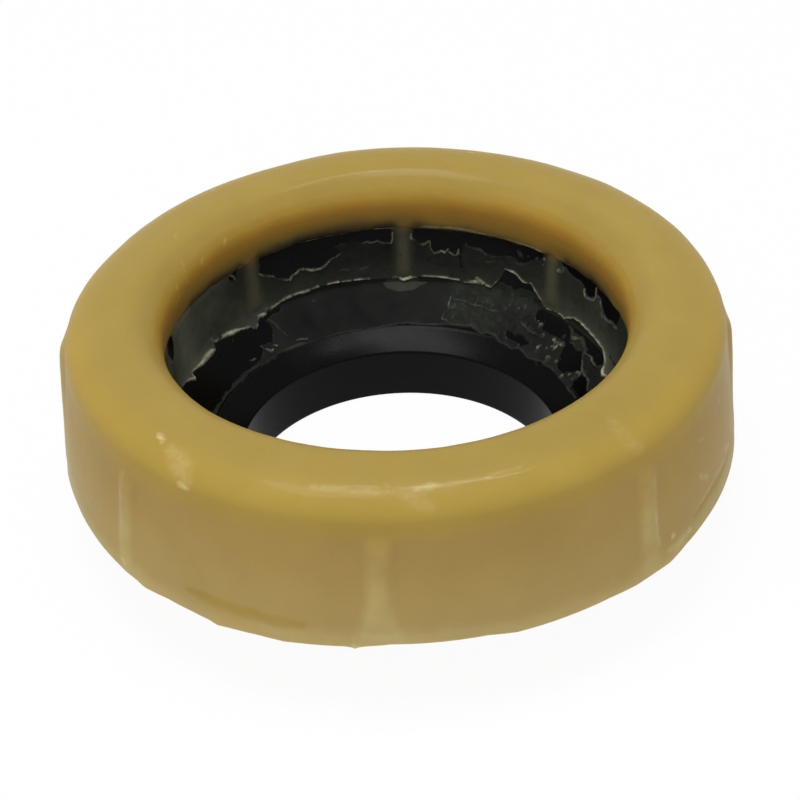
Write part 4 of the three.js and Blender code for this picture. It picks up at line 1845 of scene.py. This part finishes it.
@dataclass
class ConeFilm(FilmBand):
    """The thinner, lumpy film on the cone, torn away in places down to the plastic.

    It looks thinner low down on the right, and it is painted lighter at its top as painted light. The lumpy
    patch holds crumbs, and the crescent is a lighter patch.
    """

    name: str = "cone_wax_film"
    top: float = 11.2
    bottom: float = 26.0
    rows: int = 68
    bead: Bead = Bead(0.2, 0.11, 0.22)
    seed: int = 71
    lumps: Noise = Noise(0.8, 0, 3, CONE_RADIUS)
    clouds: Noise = Noise(4.0, 81, 2, CONE_RADIUS)
    edge_ragged: float = 0.12
    hole_ragged: float = 0.22
    film_blur: Span = (-0.12, 0.12)
    skin: float = 0.08
    skin_clouds: float = 0.01
    lumpy_blur: Span = (-0.5, 0.8)
    lumpy_wander: float = 0.5
    lump_clouds: float = 0.3
    lump_range: Span = (-0.5, 1.2)
    lump_skin: float = 0.05
    lump_swing: float = 0.04
    crumb_span: Span = (0.95, 1.2)
    crescent_blur: Span = (-0.1, 0.15)
    # Painted light: the film is painted lighter just below the collar's foot, filling the darker reflection
    # in the bend there
    top_painted_light: float = 0.03
    top_span: Span = (16.0, 13.5)
    right_shade: float = 0.05
    right_drops: Span = (15.5, 18.0)
    right_angles: Span = (64.0, 54.0)
    shade_clouds: float = 0.015
    shade_lumps: float = 0.03
    shade_crumbs: float = 0.12
    shade_crescent: float = 0.2
    foot: tuple[SizedPlace, ...] = (
        (180, 23.6, 0.2), (170, 23.4, 0.3), (155, 23.6, 0.4), (152.5, 23.9, 0.7), (149, 23.5, 0.4),
        (146, 23.6, 0.6), (143, 23.8, 0.5), (140.5, 24.1, 0.4), (135, 23.6, 0.3), (130, 24.0, 0.9),
        (126, 24.1, 0.9), (124, 24.2, 0.4), (120, 24.2, 0.3), (110, 24.2, 0.3), (100, 24.4, 0.3),
        (95, 24.0, 0.4), (90, 23.7, 0.5), (85, 24.0, 0.4), (80, 23.8, 0.4), (77, 23.5, 0.5),
        (71, 23.3, 0.6), (69, 23.0, 0.9), (65, 24.2, 0.4), (63, 23.6, 0.5), (60, 23.9, 0.9),
        (58, 24.7, 0.3), (55, 24.9, 0.4), (52.5, 25.3, 0.4),
        (50, 24.4, 0.4), (45, 25.5, 0.4), (42, 25.1, 0.4), (40, 24.5, 0.4), (38, 24.9, 0.5), (35, 24.5, 0.4),
        (29, 25.0, 0.5), (22, 25.2, 0.4), (17, 24.9, 0.4), (0, 24.2, 0.4), (-25, 24.6, 0.6), (-50, 23.9, 0.3),
        (-80, 24.5, 0.5), (-110, 24.1, 0.3), (-140, 24.8, 0.6), (-165, 23.9, 0.3),
    )
    shades: tuple[Place, ...] = (
        (8, 0.08), (30, 0.1), (50, 0.09), (60, 0.08), (76, 0.08), (80, 0.035), (100, 0.025), (125, 0.03),
        (131, 0.05), (180, 0.06), (215, 0.14), (250, 0.08), (300, 0.15), (335, 0.1),
    )
    torn: tuple[tuple[Place, ...], ...] = (
        ((180, 10.0), (180, 23.2), (170, 22.6), (160, 23.0), (150, 22.4), (142, 22.8), (139.5, 21.4),
         (138.6, 19.6), (136.5, 20.4), (134.6, 20.2), (133.2, 19.0), (132.6, 17.0), (133.4, 15.6),
         (129, 14.6), (129, 10.0)),
        ((129.8, 13.2), (129.9, 14.6), (128.8, 15.1), (127.2, 14.4), (126.9, 13.4)),
        ((63.5, 7.0), (63.3, 9.6), (62, 11.2), (59, 11.9), (56.8, 11.2), (55.4, 10.2), (55.4, 7.0)),
        ((50.6, 12.4), (50.4, 14.6), (50.2, 16.7), (47.6, 17.4), (45, 18.3), (41, 18.2), (36.4, 18.0),
         (35.6, 17.4), (36.4, 16.0), (38, 14.9), (41, 13.9), (43, 12.4)),
        ((40, 11.0), (39.6, 13.6), (39, 14.2), (37, 14.4), (35.4, 14.9), (34, 14.9), (32, 14.4), (30.8, 14.9),
         (29, 15.7), (27, 16.4), (24, 16.5), (20.3, 16.5), (19.4, 15.8), (20.2, 11.0)),
        ((36.6, 18.6), (35.6, 17.4), (34, 17.2), (31.5, 17.9), (29.4, 17.2), (28.4, 17.5), (27, 18.7),
         (25.5, 19.5), (24.4, 20.3), (26.2, 21.6), (28.8, 23.0), (31.6, 23.6), (34.4, 22.6), (35.2, 20.6)),
        ((23.0, 20.9), (20, 20.4), (18.5, 20.7), (17, 21.8), (14, 21.6), (13, 24.4), (22.5, 24.6),
         (23.6, 22.8)),
        ((57, 21.6), (51, 21.8), (47.6, 22.6), (50.4, 23.4), (56, 23.5)),
        ((-20, 15.5), (-22, 21.0), (-36, 22.0), (-44, 18.0), (-38, 15.0)),
        ((-58, 14.0), (-60, 19.5), (-74, 20.5), (-90, 17.5), (-84, 14.5)),
        ((-118, 15.0), (-121, 21.5), (-136, 22.5), (-150, 19.0), (-146, 14.5)),
    )
    threads: tuple[Thread, ...] = (
        Thread(((77.3, 16.8, 0.5), (77.6, 18.5, 0.6), (77.2, 20.0, 0.5), (78.6, 21.0, 0.7), (78.8, 22.0, 0.8),
                (77.2, 22.4, 0.5)), 0.35, 0.6),
        Thread(((76, 17.2, 0.3), (70, 17.9, 0.35), (66, 18.1, 0.3), (60, 18.2, 0.35), (55.5, 18.4, 0.4),
                (52, 19.2, 0.5), (48.5, 19.9, 0.4), (46, 20.1, 0.3)), 0.3, 0.42),
        Thread(((38.0, 14.9, 0.4), (36.8, 15.2, 0.7), (35.0, 16.4, 1.5), (33.4, 15.7, 1.3), (32, 15.2, 0.9),
                (30.4, 15.8, 0.7), (28.4, 16.6, 0.6), (26, 16.9, 0.5), (22, 16.9, 0.5), (19, 17.0, 0.9)),
               0.45, 0.66),
        Thread(((35, 17.5, 0.4), (33.5, 17.1, 0.4), (31.5, 17.7, 0.4), (29.5, 17.0, 0.7), (28.3, 17.2, 0.6),
                (27, 18.4, 0.5), (25.5, 19.2, 0.4), (24, 20.0, 0.5), (22, 20.3, 0.5), (20, 20.1, 0.5),
                (18.5, 20.3, 0.6), (17, 21.5, 0.7), (15.5, 21.2, 0.4)), 0.36, 0.45),
        Thread(((39.7, 13.2, 0.4), (39.4, 14.1, 0.5)), 0.35, 0.6),
        Thread(((145.5, 21.2, 0.4), (144, 21.7, 0.8), (143.4, 22.0, 0.3)), 0.3, 0.55),
        Thread(((139, 19.9, 0.4), (138.6, 21.0, 0.7), (137.6, 21.6, 1.0), (136.6, 22.3, 1.4),
                (135.8, 22.2, 0.8)), 0.5, 0.62),
        Thread(((134.8, 21.2, 0.5), (134, 21.5, 0.8)), 0.4, 0.66),
        Thread(((132.4, 15.4, 0.4), (131.8, 16.6, 0.6), (130.8, 17.9, 1.3), (130.2, 18.8, 0.8),
                (129.4, 20.6, 0.6)), 0.3, 0.3),
        Thread(((127, 22.4, 0.5), (125.5, 22.6, 0.7), (123.4, 23.1, 0.6)), 0.3, 0.42),
        Thread(((117.4, 15.2, 0.6), (116.6, 15.3, 0.6)), 0.25, 0.4),
    )
    dabs: tuple[Dab, ...] = (
        Dab(40.2, 18.9, 1.4, 0.72), Dab(38.4, 19.9, 1.8, 0.95), Dab(37.0, 19.0, 1.2, 0.7),
        Dab(39.6, 20.4, 0.9, 0.6), Dab(44.0, 22.2, 1.2, 0.75), Dab(47.2, 17.3, 1.3, 0.62),
        Dab(48.4, 16.9, 0.7, 0.5), Dab(38.6, 22.9, 1.5, 0.55), Dab(35.0, 22.5, 0.9, 0.62),
        Dab(29.2, 24.0, 1.1, 0.7), Dab(27.0, 22.7, 0.9, 0.66), Dab(25.0, 21.0, 0.9, 0.66),
        Dab(23.8, 20.8, 1.2, 0.62), Dab(56.0, 15.9, 0.8, 0.5), Dab(60.0, 17.0, 0.8, 0.46),
        Dab(54.5, 14.8, 0.6, 0.5), Dab(62.5, 15.5, 0.7, 0.44), Dab(44.6, 19.2, 1.1, 0.5),
        Dab(41.0, 21.3, 0.8, 0.5), Dab(24.8, 22.9, 0.7, 0.55),
    )
    lumpy: tuple[Place, ...] = ((78, 12.6), (77.6, 16), (77.4, 20), (78.4, 23.6), (64, 24.4), (49, 24.6),
                                (45.8, 20.4), (48.8, 18), (50.6, 13.4), (56, 11.4), (60, 11.8), (65, 12.6))
    crescent: tuple[Place, ...] = ((96.7, 13.2), (95.5, 15), (93.5, 16), (91, 16.2), (88.5, 15.9), (86, 14.7),
                                   (84.2, 13.6), (84.5, 13.1), (86, 12.9), (88, 13.5), (91, 14), (93.5, 13.2))

    def build(self) -> bpy.types.Object:
        """Works out the film's values over the grid, as for the collar.

        Returns:
            The film.
        """
        azimuth, drop = self.azimuth, self.drop
        rough = self.wear_and_painted_light(self.lumps)
        soft = self.clouds.at(azimuth, drop)
        inside = read_list(azimuth, self.foot) - drop + self.edge_ragged * rough
        for hole in self.torn:
            inside = np.minimum(inside, self.hole_ragged * rough - self.within(hole))
        lumpy = smooth_step(*self.lumpy_blur, self.within(self.lumpy) + self.lumpy_wander * soft)
        lumps = np.clip(rough + self.lump_clouds * soft, *self.lump_range)
        crumbs = lumpy * smooth_step(*self.crumb_span, lumps)
        crescent = smooth_step(*self.crescent_blur, self.within(self.crescent))
        # Painted light at the top of the cone
        shade = read_list(azimuth, self.shades) + self.top_painted_light * smooth_step(*self.top_span, drop)
        low = self.right_shade * smooth_step(*self.right_drops, drop)
        shade = shade - low * smooth_step(*self.right_angles, azimuth)
        depth = shade + self.shade_clouds * soft + lumpy * self.shade_lumps * lumps
        lumped = lumpy * (self.lump_skin + self.lump_swing * lumps)
        layers = FilmLayers(
            film=smooth_step(*self.film_blur, inside),
            thickness=self.skin + self.skin_clouds * soft + lumped,
            depth=depth + self.shade_crumbs * crumbs + self.shade_crescent * crescent,
            pale=np.ones(azimuth.shape),
        )
        self.lay_edge(layers, self.foot)
        self.lay_threads(layers)
        self.lay_dabs(layers)
        return self.mesh(layers)


@dataclass(frozen=True)
class Lamp:
    """A rectangular lamp overhead: how far it leans towards the camera and to the right, its size and its
    distance in metres, and its power in watts.
    """

    name: str
    lean: float
    aside: float
    size: tuple[float, float]
    power: float
    distance: float = 1.0


@dataclass
class Studio:
    """A pale floor, two soft lights overhead, even light all round and the camera. The floor and the
    camera's near limit are in metres.
    """

    distance: float = 426.0
    elevation: float = 34.6
    azimuth: float = -86.06
    roll: float = 2.768
    pan: float = -0.0923
    tilt: float = 1.1686
    aim_height: float = 33.1
    lens: float = 92.43
    sensor: float = 36.0
    clip_start: float = 0.01
    sky: float = 0.42
    sky_left: float = 0.08
    sky_front: float = 0.95
    sky_seen: float = 0.85
    lamps: tuple[Lamp, ...] = (
        Lamp("overhead_light", lean=5.0, aside=-8.0, size=(0.5, 0.32), power=4.6),
        Lamp("edge_light", lean=-6.0, aside=3.0, size=(0.5, 0.03), power=2.2),
    )
    floor_size: float = 40.0
    floor_white: float = 0.95
    floor_grey: float = 0.9
    floor_drop: float = 0.00005

    def build(self) -> None:
        """Sets up the camera, the lights and the floor."""
        scene = bpy.context.scene
        scene.view_settings.view_transform = "Standard"
        self._camera()
        for lamp in self.lamps:
            self._hang(lamp)
        self._sky()
        self._floor()

    def _camera(self) -> None:
        """Places the camera on a sphere about a point on the axis, rolls it, and turns it by pan and tilt."""
        elevation, azimuth = math.radians(self.elevation), math.radians(self.azimuth)
        back = np.array([math.cos(azimuth) * math.cos(elevation), math.sin(azimuth) * math.cos(elevation),
                         math.sin(elevation)])
        level = np.array([-math.sin(azimuth), math.cos(azimuth), 0.0])
        upward = np.cross(back, level)
        roll, pan, tilt = (math.radians(angle) for angle in (self.roll, self.pan, self.tilt))
        right = math.cos(roll) * level - math.sin(roll) * upward
        up = math.sin(roll) * level + math.cos(roll) * upward
        place = np.array([0.0, 0.0, self.aim_height]) + back * self.distance
        turned_back = back * math.cos(pan) + right * math.sin(pan)
        right = right * math.cos(pan) - back * math.sin(pan)
        back = turned_back * math.cos(tilt) + up * math.sin(tilt)
        up = up * math.cos(tilt) - turned_back * math.sin(tilt)
        data = bpy.data.cameras.new("camera")
        data.lens = self.lens
        data.sensor_width = self.sensor
        data.clip_start = self.clip_start
        camera = bpy.data.objects.new("camera", data)
        matrix = np.eye(4)
        matrix[:3, 0], matrix[:3, 1], matrix[:3, 2] = right, up, back
        matrix[:3, 3] = place * METRES_PER_MM
        camera.matrix_world = Matrix(matrix.tolist())
        bpy.context.scene.collection.objects.link(camera)
        bpy.context.scene.camera = camera

    def _hang(self, lamp: Lamp) -> None:
        """Hangs a lamp over the seal.

        Args:
            lamp: The lamp's sizes.
        """
        data = bpy.data.lights.new(lamp.name, "AREA")
        data.shape = "RECTANGLE"
        data.size, data.size_y = lamp.size
        data.energy = lamp.power
        piece = bpy.data.objects.new(lamp.name, data)
        towards = Matrix.Rotation(math.radians(self.azimuth + 90.0), 4, "Z")
        aside = Matrix.Rotation(math.radians(lamp.aside), 4, "Y")
        lean = Matrix.Rotation(math.radians(lamp.lean), 4, "X")
        piece.matrix_world = towards @ aside @ lean @ Matrix.Translation((0.0, 0.0, lamp.distance))
        bpy.context.scene.collection.objects.link(piece)

    def _sky(self) -> None:
        """Gives the world a plain white light, a little stronger from the left and the front. To the camera
        and in reflections it shows one pale level.
        """
        world = bpy.data.worlds.new("studio")
        world.use_nodes = True
        wiring = Wiring(world.node_tree)
        background = world.node_tree.nodes["Background"]
        background.inputs["Color"].default_value = WHITE
        direction = wiring.add("ShaderNodeTexCoord").outputs["Generated"]
        axes = wiring.add("ShaderNodeSeparateXYZ", {0: direction}).outputs
        level = wiring.math("MULTIPLY_ADD", axes["X"], -self.sky_left * self.sky, self.sky)
        level = wiring.math("MULTIPLY_ADD", axes["Y"], -self.sky_front * self.sky, level)
        seen = self._seen(wiring)
        kept = wiring.math("MULTIPLY", wiring.math("SUBTRACT", 1.0, seen), level)
        strength = wiring.math("MULTIPLY_ADD", seen, self.sky_seen, kept)
        wiring.join(strength, background.inputs["Strength"])
        bpy.context.scene.world = world

    def _seen(self, wiring: Wiring) -> Socket:
        """Adds a value that tells what is seen from light.

        Args:
            wiring: The wiring of the tree that needs it.

        Returns:
            1 for what the camera sees, straight, mirrored or through glass, and 0 for light.
        """
        path = wiring.add("ShaderNodeLightPath").outputs
        seen = wiring.math("MAXIMUM", path["Is Camera Ray"], path["Is Glossy Ray"])
        return wiring.math("MAXIMUM", seen, path["Is Transmission Ray"])

    def _floor(self) -> None:
        """Lays the pale floor. To the camera and in reflections most of it shows plain white, and the rest of
        it keeps the shadow.
        """
        half = self.floor_size / 2
        corners = [(-half, -half, 0), (half, -half, 0), (half, half, 0), (-half, half, 0)]
        mesh = bpy.data.meshes.new("floor")
        mesh.from_pydata(corners, [], [(0, 1, 2, 3)])
        mesh.transform(Matrix.Translation((0.0, 0.0, -self.floor_drop)))
        material = bpy.data.materials.new("pale_floor")
        material.use_nodes = True
        material.node_tree.nodes.clear()
        wiring = Wiring(material.node_tree)
        share = wiring.math("MULTIPLY", self._seen(wiring), self.floor_white)
        grey = self.floor_grey
        diffuse = wiring.add("ShaderNodeBsdfDiffuse", {"Color": (grey, grey, grey, 1.0)})
        white = wiring.add("ShaderNodeEmission", {"Color": WHITE, "Strength": 1.0})
        mixed = wiring.add("ShaderNodeMixShader", {0: share, 1: diffuse.outputs[0], 2: white.outputs[0]})
        wiring.add("ShaderNodeOutputMaterial", {"Surface": mixed.outputs[0]})
        mesh.materials.append(material)
        floor = bpy.data.objects.new("floor", mesh)
        bpy.context.scene.collection.objects.link(floor)


def report(piece: bpy.types.Object) -> None:
    """Logs a piece's name and number of triangles."""
    triangles = sum(polygon.loop_total - 2 for polygon in piece.data.polygons)
    LOG.info("%s: %d triangles", piece.name, triangles)


def main() -> None:
    """Builds the studio and the seal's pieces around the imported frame."""
    logging.basicConfig(level=logging.INFO, format="%(message)s")
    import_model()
    Studio().build()
    sizes = SealSizes()
    palette = Palette()
    funnel = Funnel(sizes).build()
    dress(funnel, PlasticFinish().material(palette))
    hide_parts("funnel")
    ring = WaxRing(sizes).build()
    dress(ring, RingFinish().material(palette))
    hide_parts("wax_ring")
    film_material = FilmFinish().material(palette)
    films = [CollarFilm(sizes).build(), ConeFilm(sizes).build()]
    for film in films:
        dress(film, film_material)
    for piece in [funnel, ring, *films]:
        report(piece)


if __name__ == "__main__":
    main()
